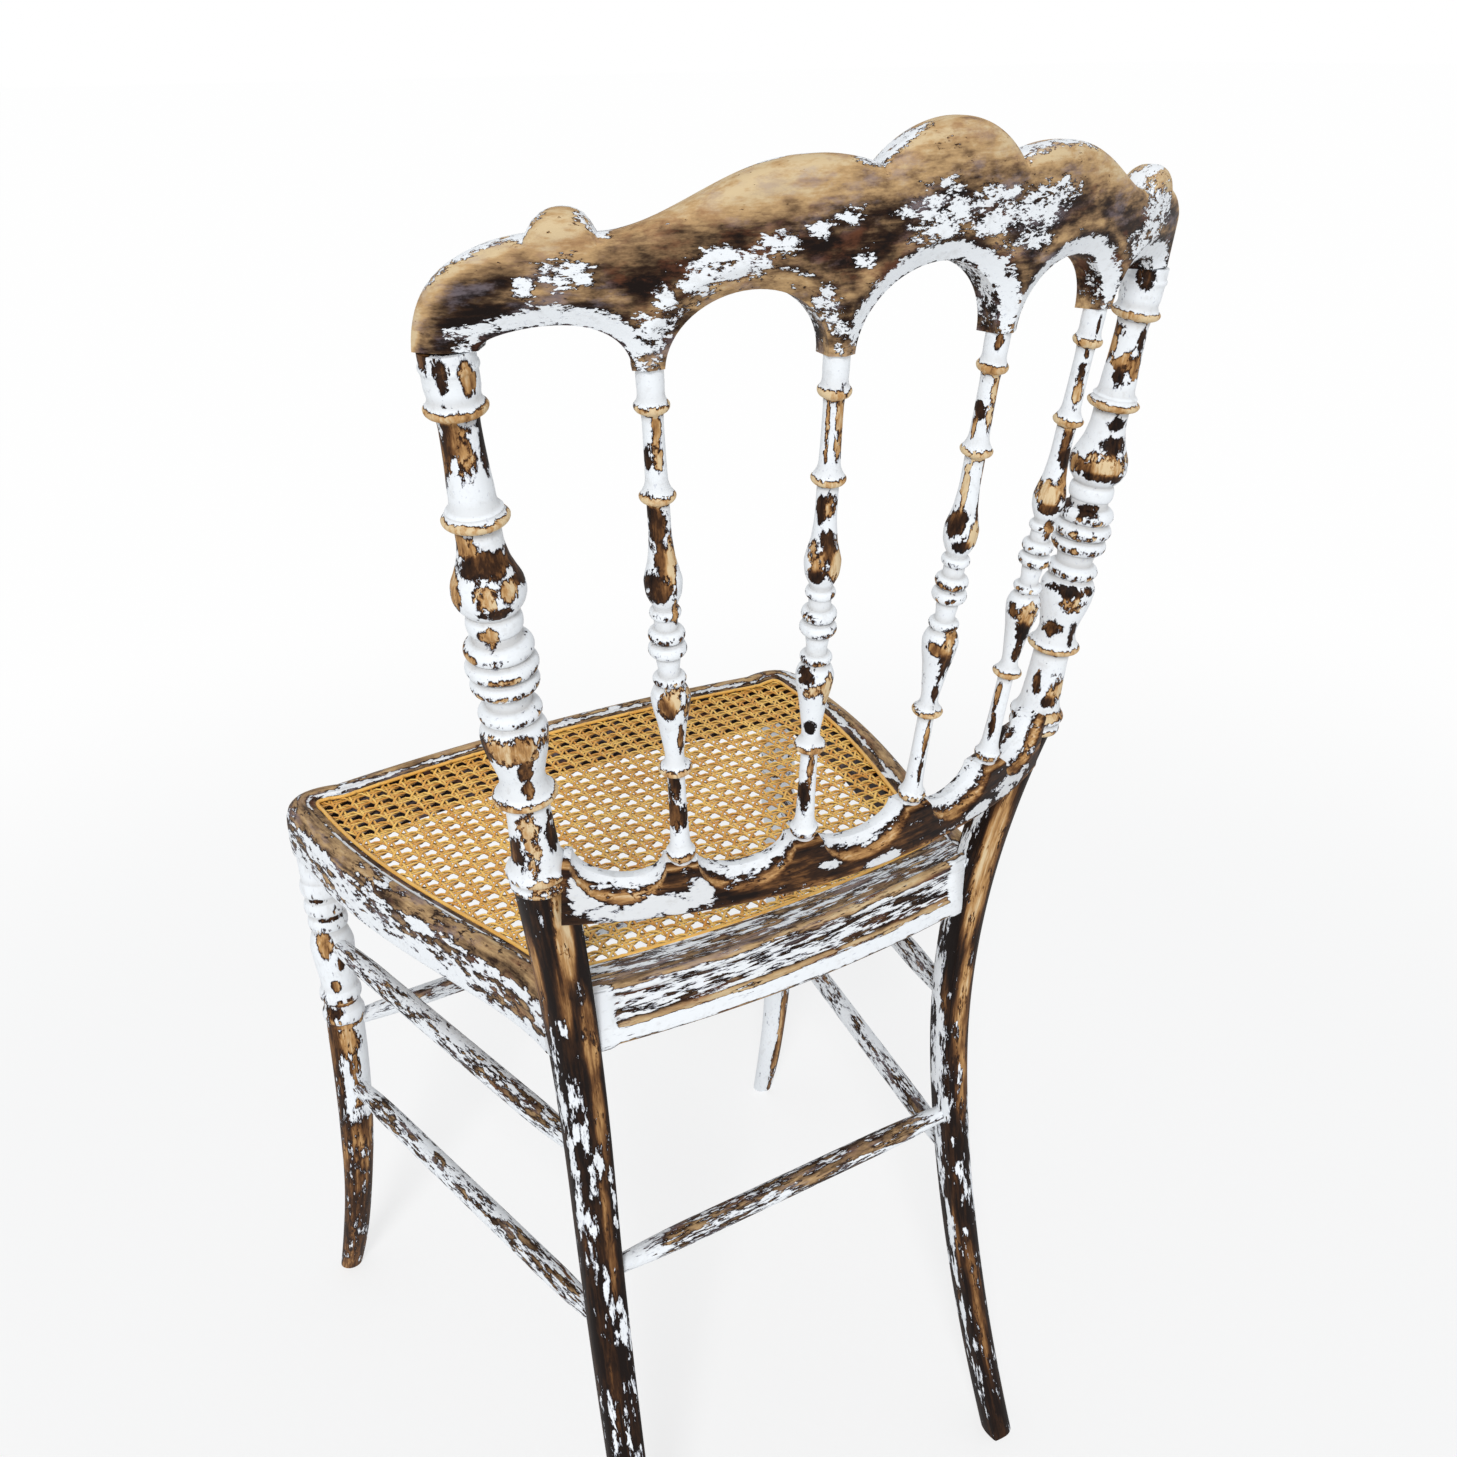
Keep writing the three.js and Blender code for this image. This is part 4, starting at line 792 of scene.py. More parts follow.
# %% [markdown]
# ## Lower back rail
# The lower rail is the crest's opposite: scallops dip between the spindles and their hollowed bevel
# faces up and back. The bevel kept its paint, its lower half was rubbed to tan, and the face below is
# mostly dark stain.

# %% Lower back rail
INNER_FOOT, OUTER_FOOT, LAND_HALF = 32.0, 91.5, 7.0
RAIL_END, END_LAND, SCALLOP_DIP, LAND_DROP = 141.0, 3.0, 12.0, 1.5
RAIL_HORN, HORN_POWER = 8.0, 1.5
RAIL_FOOT, RAIL_HALF, SCALLOP_BEVEL, LEAST_DIP = 32.0, 9.0, 10.5, 0.35
HOLLOW_PAST, HOLLOW_POWER, FRONT_EASE, FOOT_EASE, FOOT_ROUND = 2.0, 1.2, 1.2, 1.5, 2.0
RAIL_BACK_POINTS, RAIL_FRONT_POINTS, SCALLOP_STATIONS = 40, 20, 26
FACE_STEEP, FACE_LIMITS = 0.5, (-0.4, 0.35)
CROWN_STEEP, CROWN_EDGE, CROWN_LIMITS, HOLLOW_EDGE = 1.7, 0.66, (-0.42, 0.4), 0.12
FRONT_PAINT, FRONT_SWING, FRONT_RUN = 0.1, 0.2, 23.0
FACE_PALE, FOOT_PALE, FOOT_BAND = 0.2, 0.4, 6.0
HOLLOW_PALE, HOLLOW_TAN, TAN_UP_TO = 0.22, 0.55, 0.6
DIRT_AND_SHADE_CUT, DIRT_AND_SHADE_HALF = 0.03, 0.06
SCALLOPS = [
    (LAND_HALF - INNER_FOOT, INNER_FOOT - LAND_HALF),
    (INNER_FOOT + LAND_HALF, OUTER_FOOT - LAND_HALF),
    (OUTER_FOOT + LAND_HALF, RAIL_END - END_LAND),
]
RAIL_PAINT = [
    (108, -24, 26, 8), (132, -10, 6, 15), (84, -20, 7, 10), (-11, -28, 12, 3), (-107, -22, 18, 7),
    (-79, -26, 12, 4), (20, -20, 7, 3),
]


def lower_rail_wear(x, rise, cut, back):
    """Paint along the rim of the hollow and on islands of the face; tan in the hollow and along the
    foot."""
    face = np.clip(FACE_STEEP * inside_ellipses(x, rise, RAIL_PAINT).max(axis=-1), *FACE_LIMITS)
    hollow = ramp(cut, 0.0, HOLLOW_EDGE)
    paint = face * (1 - hollow) + hollow * np.clip(CROWN_STEEP * (cut - CROWN_EDGE), *CROWN_LIMITS)
    paint = np.where(back < 0, FRONT_PAINT - FRONT_SWING * np.sin(x / FRONT_RUN), paint)
    foot = ramp(rise, FOOT_BAND - RAIL_FOOT, -RAIL_FOOT)
    tan = HOLLOW_PALE + HOLLOW_TAN * np.sin(np.pi * ramp(cut, 0.0, TAN_UP_TO))
    return paint, (FACE_PALE + FOOT_PALE * foot) * (1 - hollow) + hollow * tan


def lower_rail():
    """At each station a loop goes up the back, over the crown and down the front. The crown dips by
    half an ellipse in each scallop, and the back is cut away from it by a hollow that deepens towards
    the scallop's middle."""
    scallop_ends = [edge for start, end in SCALLOPS for edge in (max(start, 0.0), end)]
    x = both_halves([0.0] + scallop_ends + [RAIL_END], SCALLOP_STATIONS)
    reach = np.abs(x)
    dip = np.zeros_like(reach)
    for start, end in SCALLOPS:
        dip = np.maximum(dip, np.where((reach > start) & (reach < end), half_ellipse(reach, start, end), 0.0))
    horn = RAIL_HORN * ramp(reach, SCALLOPS[2][0], RAIL_END) ** HORN_POWER
    top = horn - LAND_DROP - SCALLOP_DIP * dip
    up, back = up_and_down(RAIL_BACK_POINTS, RAIL_FRONT_POINTS)
    rise = -RAIL_FOOT + (top + RAIL_FOOT) * up
    below = top - rise
    cut = np.clip(1 - below / (SCALLOP_BEVEL * np.clip(dip, LEAST_DIP, 1)), 0, 1)
    hollowed = RAIL_HALF - (RAIL_HALF + HOLLOW_PAST) * cut**HOLLOW_POWER
    eased = RAIL_HALF - FRONT_EASE * np.clip(1 - below, 0, 1)
    foot_round = FOOT_EASE * ramp(rise, FOOT_ROUND - RAIL_FOOT, -RAIL_FOOT) ** 2
    depth = back * (np.where(back > 0, hollowed, eased) - foot_round)
    points = on_back(x + 0 * rise, LOW_Z + rise, depth)

    paint, sand = lower_rail_wear(x, rise, cut, back)
    # Dirt and painted shade in the crease at the foot of the hollow, on the back.
    grime = np.clip(1 - np.abs(cut - DIRT_AND_SHADE_CUT) / DIRT_AND_SHADE_HALF, 0, 1) * (back > 0)
    grain = coordinates(x, rise, depth)
    name = "lower_back_rail"
    return bar_piece(name, points, grain, -paint, sand, grime, [name], CARVED_CREASE)


lower_rail()

# %% [markdown]
# ## Mouldings of the seat
# The side rails bow out and meet the front rail in rounded corners, so the three are drawn as one bent
# moulding, its outline carried along a curve. The rear rail is another, on a curve of its own. An
# outline's points are its distance out from the curve and its height.

# %% Curves of the seat
SIDE_CURVE = np.array([(182, -377), (194, -205), (135, -118), (133.1, -35.4)], dtype=float)
FRONT_CURVE = np.array([(205, -327.4), (0, -368.6), (-205, -327.4)], dtype=float)
REAR_CURVE = np.array([(133.1, -46), (0, -20), (-133.1, -46)], dtype=float)
SEAT_CORNER = (188.0, -346.0)
SIDE_SPAN, FRONT_SPAN, CORNER_SPAN = (1, 0.13, 90), (0.115, 0.5, 60), (0, 1, 24)
OUTLINE_STEP = 1.6


def bezier(controls, t):
    """Points of a curve over three or four control points, weighted by powers of t and of what is left
    to 1."""
    t = np.asarray(t, dtype=float)[:, None]
    if len(controls) == 3:
        a, b, c = controls
        return (1 - t) ** 2 * a + 2 * t * (1 - t) * b + t**2 * c
    a, b, c, d = controls
    return (1 - t) ** 3 * a + 3 * t * (1 - t) ** 2 * b + 3 * t**2 * (1 - t) * c + t**3 * d


def evenly(path, spacing):
    """The path's points again, at equal steps along it."""
    along = np.concatenate([[0.0], np.cumsum(np.linalg.norm(np.diff(path, axis=0), axis=1))])
    at = np.linspace(0, along[-1], max(4, int(along[-1] / spacing)))
    return np.stack([np.interp(at, along, path[:, k]) for k in range(path.shape[1])], -1)


def seat_path():
    """Left rail from the post forwards, a rounded corner, the front rail, a corner, and the right rail
    back."""
    side = bezier(SIDE_CURVE, np.linspace(*SIDE_SPAN))
    front = bezier(FRONT_CURVE, np.linspace(*FRONT_SPAN))
    corner = bezier(np.array([side[-1], SEAT_CORNER, front[0]]), np.linspace(*CORNER_SPAN))
    half = np.concatenate([side, corner[1:-1], front])
    return np.concatenate([half, half[-2::-1] * (-1, 1)])


def unit_ahead(path):
    """Unit direction of the path at each of its points."""
    ahead = np.gradient(path, axis=0)
    return ahead / np.linalg.norm(ahead, axis=1, keepdims=True)


def carried(outline, path, spacing):
    """The outline, filled in to even steps, carried along the path with its first axis pointing
    outwards."""
    loop = evenly(np.array(outline + outline[:1], dtype=float), OUTLINE_STEP)[:-1]
    line = evenly(path, spacing)
    ahead = unit_ahead(line)
    outward = np.stack([-ahead[:, 1], ahead[:, 0]], -1)
    outward *= np.sign((outward * (line - line.mean(axis=0))).sum())
    out, z = loop[None, :, 0], loop[None, :, 1]
    flat = line[:, None] + outward[:, None] * out[..., None]
    along = np.arange(len(line))[:, None] * np.linalg.norm(np.diff(line, axis=0), axis=1).mean()
    return coordinates(flat[..., 0], flat[..., 1], z), along, out, z, outward


print("seat path of", len(seat_path()), "points, wide", np.ptp(seat_path(), axis=0).round(1), "mm")

# %% [markdown]
# ## Side and front rails
# Their moulding has a convex top, rubbed to tan, and inside it a small fillet that kept its paint and a
# brown border next to the cane. Flakes of paint hang on down the outer face, with a painted shoulder
# and a darker, reddish band above it. The ledge for the cane and the inner side were never painted.

# %% Seat frame
FRAME_STEP = 3.0
RAIL_PROFILE = [
    (-12, 418), (9, 418), (12, 422), (12.2, 431), (12, 440.5), (11.4, 446), (9.6, 450.6), (6.5, 453.6),
    (2, 454.8), (-0.6, 454.4), (-2, 452.8), (-3.4, 453), (-4.2, 451.8), (-7.6, 451.2), (-8, 447),
    (-12, 447),
]
LEDGE_OUT, UNDER_OUT, UNDER_Z, INNER_TOP_Z = -7.7, 8.0, 419.0, 447.5
FILLET_OUT, FILLET_BESIDE, BORDER_OUT = -2.6, (1.8, 0.6), (-3.8, -5.0)
TAN_TOP_Z, FLAKED_Z = (446.0, 452.0), (442.0, 426.0)
SHOULDER_Z, SHOULDER_HALF, SHOULDER_OUT = 447.5, 1.6, 8.0
RED_BAND_Z, RED_BAND_HALF, RED_BAND_OUT = 451.0, 1.5, 5.0
GROOVE_OUT, GROOVE_HALF, GROOVE_Z, GROOVE_DIRT_AND_SHADE = -1.6, 0.9, 449.0, 0.6
FLAKE_SWING, FLAKE_RUN = 0.05, 31.0
FRAME_BARE = {"whole": 0.05, "top": 0.26, "low": -0.25, "fillet": -0.22, "border": 0.3, "shoulder": -0.3}
FRAME_PALE = {"whole": 0.45, "top": 0.22, "low": 0.1, "border": -0.15, "red band": -0.3}
FRAME_NODES = ["seat_left_rail", "seat_front_rail", "seat_right_rail"]


def frame_zones(out, z):
    """Share of each zone of the moulding's outline at a place on it."""
    above = z > INNER_TOP_Z
    fillet = ramp(np.abs(out - FILLET_OUT), *FILLET_BESIDE) * above
    border = ramp(out, *BORDER_OUT) * above
    return {
        "whole": 1.0,
        "top": ramp(z, *TAN_TOP_Z) * (1 - fillet) * (1 - border),
        "low": ramp(z, *FLAKED_Z),
        "fillet": fillet,
        "border": border,
        "shoulder": band(z, SHOULDER_Z, SHOULDER_HALF) * (out > SHOULDER_OUT),
        "red band": band(z, RED_BAND_Z, RED_BAND_HALF) * (out > RED_BAND_OUT),
    }


def seat_frame():
    """Wear by the place in the outline, the same all along but for a slow swing of the flakes."""
    points, along, out, z, _ = carried(RAIL_PROFILE, seat_path(), FRAME_STEP)
    inner = (out < LEDGE_OUT) | ((out < UNDER_OUT) & (z < UNDER_Z))
    zones = frame_zones(out, z)
    bare = np.where(inner, 1.0, weighed(zones, FRAME_BARE) + FLAKE_SWING * np.sin(along / FLAKE_RUN))
    sand = np.where(inner, 0.0, weighed(zones, FRAME_PALE)) + 0 * along
    # Dirt and painted shade in the groove beside the fillet.
    groove = (np.abs(out - GROOVE_OUT) < GROOVE_HALF) & (z > GROOVE_Z)
    grime = GROOVE_DIRT_AND_SHADE * groove + 0 * along
    grain = coordinates(along, out, z)
    return bar_piece("seat_frame", points, grain, bare, sand, grime, FRAME_NODES, MOULDED_CREASE)


seat_frame()

# %% [markdown]
# ## Rear rail
# The rear rail is wider, with a sloping top, a bead, a flat face and a proud fillet along its foot.
# Paint is left in streaks on the slope and in flakes on the face. The bead and a line over the fillet
# are tan, and dirt and painted shade lie under the bead. Next to the legs the face comes out flush with
# the bead and makes a plain painted block.

# %% Rear rail
REAR_STEP, REAR_SPAN = 2.5, (0, 1, 160)
REAR_PROFILE = [
    (-19, 418), (16, 418), (19, 420), (19, 430), (16.5, 431.5), (16.5, 448.5), (18.2, 450), (18.6, 453),
    (17, 455.6), (14, 456.2), (11.6, 454.6), (10.5, 453.6), (-13, 451.5), (-13.4, 447), (-19, 447),
]
BLOCK_END, BLOCK_FADE, BLOCK_OUT, BLOCK_TOP, BLOCK_FACE = 27.0, 2.5, 10.0, 456.0, 18.6
REAR_LEDGE_OUT, REAR_UNDER_OUT = -13.2, 15.0
SLOPE_OUT, SLOPE_Z, SLOPE_BARE, SLOPE_MORE = 16.0, 451.0, 0.06, 0.016
BEAD_OUT, BEAD_HALF, BEAD_Z = 17.2, 1.5, (452.0, 453.5)
FILLET_TOP, FACE_OUT = 431.5, 15.0
LINE_Z, LINE_BESIDE, FOOT_ARRIS_Z = 431.0, (1.8, 0.6), (422.0, 420.0)
UNDER_BEAD_Z, UNDER_BEAD_HALF, UNDER_BEAD_OUT = 449.0, 1.4, 14.0
REAR_BARE = {"bead": 0.4, "block": -0.5, "arris": 0.8, "line": 0.9}
REAR_FACE_BARE, REAR_FILLET_BARE = -0.02, -0.5
REAR_FACE_PALE, REAR_SLOPE_PALE, REAR_FILLET_PALE, BEAD_PALE, LINE_PALE = 0.18, 0.5, 0.6, 0.75, 0.4


def rear_rail():
    """Wear by the place in the outline, with blocks at the ends that are moved out to the face of the
    bead."""
    path = bezier(REAR_CURVE, np.linspace(*REAR_SPAN))
    points, along, out, z, outward = carried(REAR_PROFILE, path, REAR_STEP)
    from_end = np.minimum(along, along.max() - along)
    block = np.clip((BLOCK_END - from_end) / BLOCK_FADE, 0, 1) * (out > BLOCK_OUT) * (z < BLOCK_TOP)
    points[..., :2] += outward[:, None] * (block * np.clip(BLOCK_FACE - out, 0, None))[..., None]
    inner = (out < REAR_LEDGE_OUT) | ((out < REAR_UNDER_OUT) & (z < UNDER_Z))
    slope = (out < SLOPE_OUT) & (z > SLOPE_Z)
    fillet = (z < FILLET_TOP) & (out > FACE_OUT)
    beside_line = np.abs(z - LINE_Z)
    zones = {
        "bead": band(out, BEAD_OUT, BEAD_HALF) * ramp(z, *BEAD_Z) * (1 - block),
        "block": block,
        "arris": ramp(z, *FOOT_ARRIS_Z),
        "line": ramp(beside_line, *LINE_BESIDE) * (out > FACE_OUT) * (1 - block),
    }
    slope_bare = SLOPE_BARE + SLOPE_MORE * np.clip(out, 0, None)
    bare = np.select([inner, slope, fillet], [1.0, slope_bare, REAR_FILLET_BARE], REAR_FACE_BARE)
    bare = bare + weighed(zones, REAR_BARE)
    sand = np.select([inner, slope, fillet], [0.0, REAR_SLOPE_PALE, REAR_FILLET_PALE], REAR_FACE_PALE)
    sand = sand + BEAD_PALE * zones["bead"] + LINE_PALE * (beside_line < LINE_BESIDE[0]) * (out > FACE_OUT)
    # Dirt and painted shade under the bead, but not on the end blocks.
    under_bead = np.clip(1 - np.abs(z - UNDER_BEAD_Z) / UNDER_BEAD_HALF, 0, 1)
    grime = under_bead * (out > UNDER_BEAD_OUT) * (1 - block)
    grain = coordinates(along, out, z)
    return bar_piece("seat_rear_rail", points, grain, bare, sand, grime, ["seat_rear_rail"], MOULDED_CREASE)


rear_rail()

# %% [markdown]
# ## Edge of the cane
# The cane fills the opening between the rails. Its edge is the seat's own path moved inwards, closed at
# the back by the rear rail's curve moved forwards, so that it follows the rails if they change.

# %% Edge of the cane
CANE_INSET, REAR_INSET, RING_STEP = 8.6, 13.6, 2.0
RING_BEHIND, REAR_RING_HALF, REAR_RING_SPAN = -60.0, 119.0, (0, 1, 80)


def opening_edge():
    """The ring that the cane stops at: inside the side, front and rear rails, as (x, y) points in order."""
    path = evenly(seat_path(), RING_STEP)
    ahead = unit_ahead(path)
    inward = -np.sign(ahead[0, 1]) * np.stack([ahead[:, 1], -ahead[:, 0]], -1)
    inside = path + CANE_INSET * inward
    rear = evenly(bezier(REAR_CURVE, np.linspace(*REAR_RING_SPAN)), RING_STEP) - (0.0, REAR_INSET)
    inside = inside[inside[:, 1] < RING_BEHIND]
    rear = rear[np.abs(rear[:, 0]) < REAR_RING_HALF][::-1]
    return np.concatenate([inside, rear])


edge_ring = opening_edge()
print("cane opening", np.ptp(edge_ring, axis=0).round(1), "mm")

# %% [markdown]
# ## Strands of cane
# Each strand is a thin ribbon with a lens-shaped section, cut to the ring, whose height swings with its
# place in the weave. All strands of a set are one array. A small random phase lets them wander as split
# cane does.

# %% Strands
CANE_Z, STRAND_HALF, WANDER, WANDER_RUN = 448.9, 0.55, 0.3, 11.0
STRAND_POINTS, SHORTEST_STRAND, CANE_CREASE = 100, 6.0, 60
LENS = np.array([(1.0, 0.0), (0.45, 1.0), (-0.45, 1.0), (-1.0, 0.0), (0.0, -1.0)])
# Painted shade of each lens point: 1 at both edges and underneath, 0 on the top.
LENS_EDGE_SHADE = np.array([1.0, 0.0, 0.0, 1.0, 1.0])
LENS_CAP = np.array([(0, 1, 2), (0, 2, 4), (2, 3, 4)])
TONE_SEED, TONE_SHIFT, SUNK_SHADE_FROM, SUNK_SHADE_DEPTH = 40, 300.0, 0.5, 1.6


def crossings(edge, origin, direction):
    """Least and greatest distance along each line at which it crosses the ring's segments."""
    a, b = edge, np.roll(edge, -1, axis=0)
    normal = np.array([-direction[1], direction[0]])
    level_a, level_b = a @ normal, b @ normal
    level = (origin @ normal)[:, None]
    cut = (level_a - level) * (level_b - level) < 0
    share = (level - level_a) / np.where(level_b == level_a, 1.0, level_b - level_a)
    at = (a @ direction) + share * ((b - a) @ direction) - (origin @ direction)[:, None]
    low = np.where(cut, at, np.inf).min(axis=1)
    high = np.where(cut, at, -np.inf).max(axis=1)
    return low, high


def strands(origin, direction, width, swing):
    """A lens-shaped ribbon along each line, cut to the ring; its height at a place is the set's swing
    there."""
    low, high = crossings(edge_ring, origin, direction)
    long_enough = high - low > SHORTEST_STRAND
    origin, low, high = origin[long_enough], low[long_enough], high[long_enough]
    along = low[:, None] + (high - low)[:, None] * np.linspace(0, 1, STRAND_POINTS)
    phase = np.random.default_rng(len(origin)).uniform(0, 2 * np.pi, (len(origin), 1))
    across = np.array([-direction[1], direction[0]])
    middle = origin[:, None] + along[..., None] * direction
    height = CANE_Z + swing(middle)
    middle = middle + WANDER * np.sin(along / WANDER_RUN + phase)[..., None] * across
    flat = middle[:, :, None] + LENS[:, :1] * (across * width / 2)
    tall = height[:, :, None] + LENS[:, 1] * STRAND_HALF
    return coordinates(flat[..., 0], flat[..., 1], tall), along


def strand_set(number, ribbons, along, start):
    """Points, sides, caps, grain and tone of one set of ribbons, with its vertices numbered from the
    start."""
    count, rows, columns = ribbons.shape[:3]
    first = start + np.arange(count)[:, None, None] * rows * columns
    sides = grid_faces(rows, columns)[None] + first
    caps = np.concatenate([LENS_CAP[:, ::-1][None] + first, LENS_CAP[None] + (rows - 1) * columns + first])
    tone = np.random.default_rng(TONE_SEED + number).uniform(0, 1, count)
    shift = TONE_SHIFT * tone[:, None, None]
    grain = coordinates(along[:, :, None] + shift, np.linspace(-1, 1, columns), shift)
    tones = np.repeat(tone, rows * columns)
    return ribbons.reshape(-1, 3), sides.reshape(-1, 4), caps.reshape(-1, 3), grain.reshape(-1, 3), tones


def strand_mesh(name, sets):
    """All ribbons of some sets in one mesh, each closed round and capped. It keeps the painted shade of the
    ribbon's sides and underside in the bareness slot, its own tone as paleness, and the painted shade deep
    in the weave in the slot for dirt and shade."""
    starts = np.cumsum([0] + [ribbons.size // 3 for ribbons, _ in sets])
    made = [strand_set(number, *pair, starts[number]) for number, pair in enumerate(sets)]
    points, sides, caps, grain, tone = (np.concatenate(part) for part in zip(*made))
    mesh = fill_mesh(name, points, sides, caps, CANE_CREASE)
    # Painted shade: the deeper a point lies in the weave, the darker.
    top = CANE_Z + SUNK_SHADE_FROM
    sunk_shade = ramp(points[:, 2], top, top - SUNK_SHADE_DEPTH)
    keep_facts(mesh, grain, np.tile(LENS_EDGE_SHADE, len(tone) // len(LENS_EDGE_SHADE)), tone, sunk_shade)
    return mesh


print("a strand has", STRAND_POINTS, "rings of", len(LENS), "points")

# %% [markdown]
# ## Weave
# The seat is woven by hand from split cane: pairs of strands from front to back, pairs from side to
# side, and two sets of diagonals that pass over one pair and under the other and cut the squares to
# eight-sided eyes.

# %% Weave
CANE_PITCH, EYE_X, EYE_Y = 11.82, -148.64, -319.97
PAIR_HALF, STRAND_WIDTH, DIAGONAL_WIDTH = 1.5, 1.75, 1.8
WEAVE, CROSS_WEAVE, LEVEL_STEP = 1.4, 0.6, 0.15
PAIR_STEPS = (np.arange(-3, 30) + 0.5) * CANE_PITCH
SLANT_STEPS = (np.arange(-60, 60) + 0.5) * CANE_PITCH


def over(place, origin):
    """Swing of the weave: 1 on the lines between the eyes and -1 through the eyes."""
    return -np.cos(2 * np.pi * (place - origin) / CANE_PITCH)


def upright_strands(hand):
    """One strand of each pair from front to back, on the left or right; the two of a pair swing
    opposite ways."""
    origin = coordinates(EYE_X + PAIR_STEPS + hand * PAIR_HALF, 0.0)

    def swing(place):
        return hand * CROSS_WEAVE * over(place[..., 1], EYE_Y)

    return strands(origin, np.array([0.0, 1.0]), STRAND_WIDTH, swing)


def level_strands(hand):
    """One strand of each pair from side to side; the two of a pair lie flat, one a little higher."""
    origin = coordinates(0.0, EYE_Y + PAIR_STEPS + hand * PAIR_HALF)

    def swing(place):
        return LEVEL_STEP * hand + 0 * place[..., 0]

    return strands(origin, np.array([1.0, 0.0]), STRAND_WIDTH, swing)


def slanting_strands(lean, axis, eye):
    """One set of diagonals that cut the eyes' corners. It rises over the pairs that are spaced along
    the axis."""
    origin = coordinates(EYE_X + SLANT_STEPS, EYE_Y)

    def swing(place):
        return WEAVE * over(place[..., axis], eye)

    return strands(origin, np.array([lean, 1.0]) * math.sqrt(0.5), DIAGONAL_WIDTH, swing)


pair_sets = [make(hand) for make in (upright_strands, level_strands) for hand in (-1, 1)]
diagonal_sets = [slanting_strands(1.0, 0, EYE_X), slanting_strands(-1.0, 1, EYE_Y)]
stand("cane_pairs", strand_mesh("cane_pairs", pair_sets), ["cane_panel"])
stand("cane_diagonals", strand_mesh("cane_diagonals", diagonal_sets), ["cane_panel"])

# %% [markdown]
# ## Binder
# A wider strand is laid over the holes at the edge of the weave and held down by loops; it hides the
# cut ends.

# %% Binder
BINDER_WIDTH, BINDER_TALL, BINDER_RISE, BINDER_STEP, BINDER_SIDES = 2.6, 2.6, 2.1, 1.2, 10
LOOP_STEP, LOOP_HALF, LOOP_MORE = 17.0, 1.1, 0.22
UNDER_SHADE, LOOP_SHADE, BINDER_TONE = 0.5, 0.4, 0.45


def binder_strip():
    """A round strand carried round the ring, a little thicker at each loop that ties it down, closed on
    itself by a last row equal to the first. Painted shade darkens its underside and each loop."""
    ring = evenly(np.concatenate([edge_ring, edge_ring[:1]]), BINDER_STEP)[:-1]
    turn = full_turn(BINDER_SIDES)
    ahead = np.roll(ring, -1, axis=0) - np.roll(ring, 1, axis=0)
    ahead /= np.linalg.norm(ahead, axis=1, keepdims=True)
    outward = np.stack([ahead[:, 1], -ahead[:, 0]], -1)
    along = np.arange(len(ring))[:, None] * BINDER_STEP + 0 * turn
    from_loop = ((along / LOOP_STEP) % 1.0 - 0.5) * LOOP_STEP
    loop = band(from_loop, 0.0, LOOP_HALF)
    thick = 1 + LOOP_MORE * loop
    flat = ring[:, None] + outward[:, None] * (thick * np.cos(turn) * BINDER_WIDTH / 2)[..., None]
    tall = CANE_Z + BINDER_RISE + thick * np.sin(turn) * BINDER_TALL / 2
    points = coordinates(flat[..., 0], flat[..., 1], tall)
    # Painted shade under the strand and at each loop, kept where the cane reads its dark sides.
    shade = UNDER_SHADE * (1 - np.sin(turn)) + LOOP_SHADE * loop
    grain = coordinates(along, np.cos(turn), np.sin(turn))
    open_strip = (points, grain, shade, 0 * shade + BINDER_TONE, 0 * shade)
    closed = [np.concatenate([values, values[:1]]) for values in open_strip]
    return bar_piece("cane_binder", *closed, ["cane_binder"])


binder_strip()

# %% [markdown]
# ## Front legs
# The front legs are turned too: rings under the seat, a vase, then a plain taper that sweeps forward to
# the foot. Low down, the left one has lost its paint but for runs.

# %% Front legs
FRONT_SIDES, TAPER_STEP, TURNED_STEP, TURNED_FROM, FRONT_TOP = 40, 2.5, 0.9, 264.0, 417.8
FRONT_NECKS = [
    (0, 8.2), (25, 9), (55, 9.6), (90, 9.9), (130, 10.6), (165, 11.6), (265, 12.6), (276, 12.3),
    (292, 12), (308, 12), (314, 12.2), (330, 13.8), (341, 14.4), (350, 12.4), (353, 11.4), (366, 11.8),
    (380, 12.1), (395, 12.4), (417.7, 12.6),
]
FRONT_BEADS = [
    (284, 14.2, 5, 5, 0.36), (301, 14, 5, 5, 0.36), (359.5, 13, 4.6, 4.6, 0.3), (372, 13.6, 5, 5, 0.3),
    (387, 14, 5.5, 5.5, 0.3),
]
FRONT_FLARES = [(287, 13.6, 8), (304, 13.3, 7)]
KNEE_Z, SWEEP = 343.0, 2.2
FRONT_TOP_XY, FRONT_FOOT_XY = np.array([179.3, -337.5]), np.array([194.2, -411.8])
FRONT_PLACES = {
    "front_leg_left": [
        (345, -5, 10, 5, 0.8), (330, 3, 6, 4, 0.3), (312, -2, 5, 4, 0.6), (296, 0, 2, 10, 0.4),
        (290, -6, 4, 6, 0.2), (277, 0, 2, 12, 0.6), (262, 0, 16, 7, 0.75), (240, 2, 14, 4, 0.5),
        (222, 2, 8, 3, 0.5), (207, 5, 6, 5, 0.9), (250, -10, 50, 4, 0.4), (380, -4, 2, 6, 0.2),
        (365, 2, 2, 7, 0.3),
    ],
    "front_leg_right": [
        (345, 6, 12, 5, 0.6), (312, 4, 6, 5, 0.3), (277, 2, 2, 12, 0.6), (255, 7, 40, 4, 0.6),
        (190, 6, 60, 4, 0.7), (110, 6, 60, 3, 0.8), (50, 5, 50, 3, 0.6), (80, 9, 70, 2, 0.3),
    ],
}
FRONT_FACING = {"front_leg_left": 78.7, "front_leg_right": 62.0}
STRIPPED_BELOW = {"front_leg_left": 212.0, "front_leg_right": 0.0}
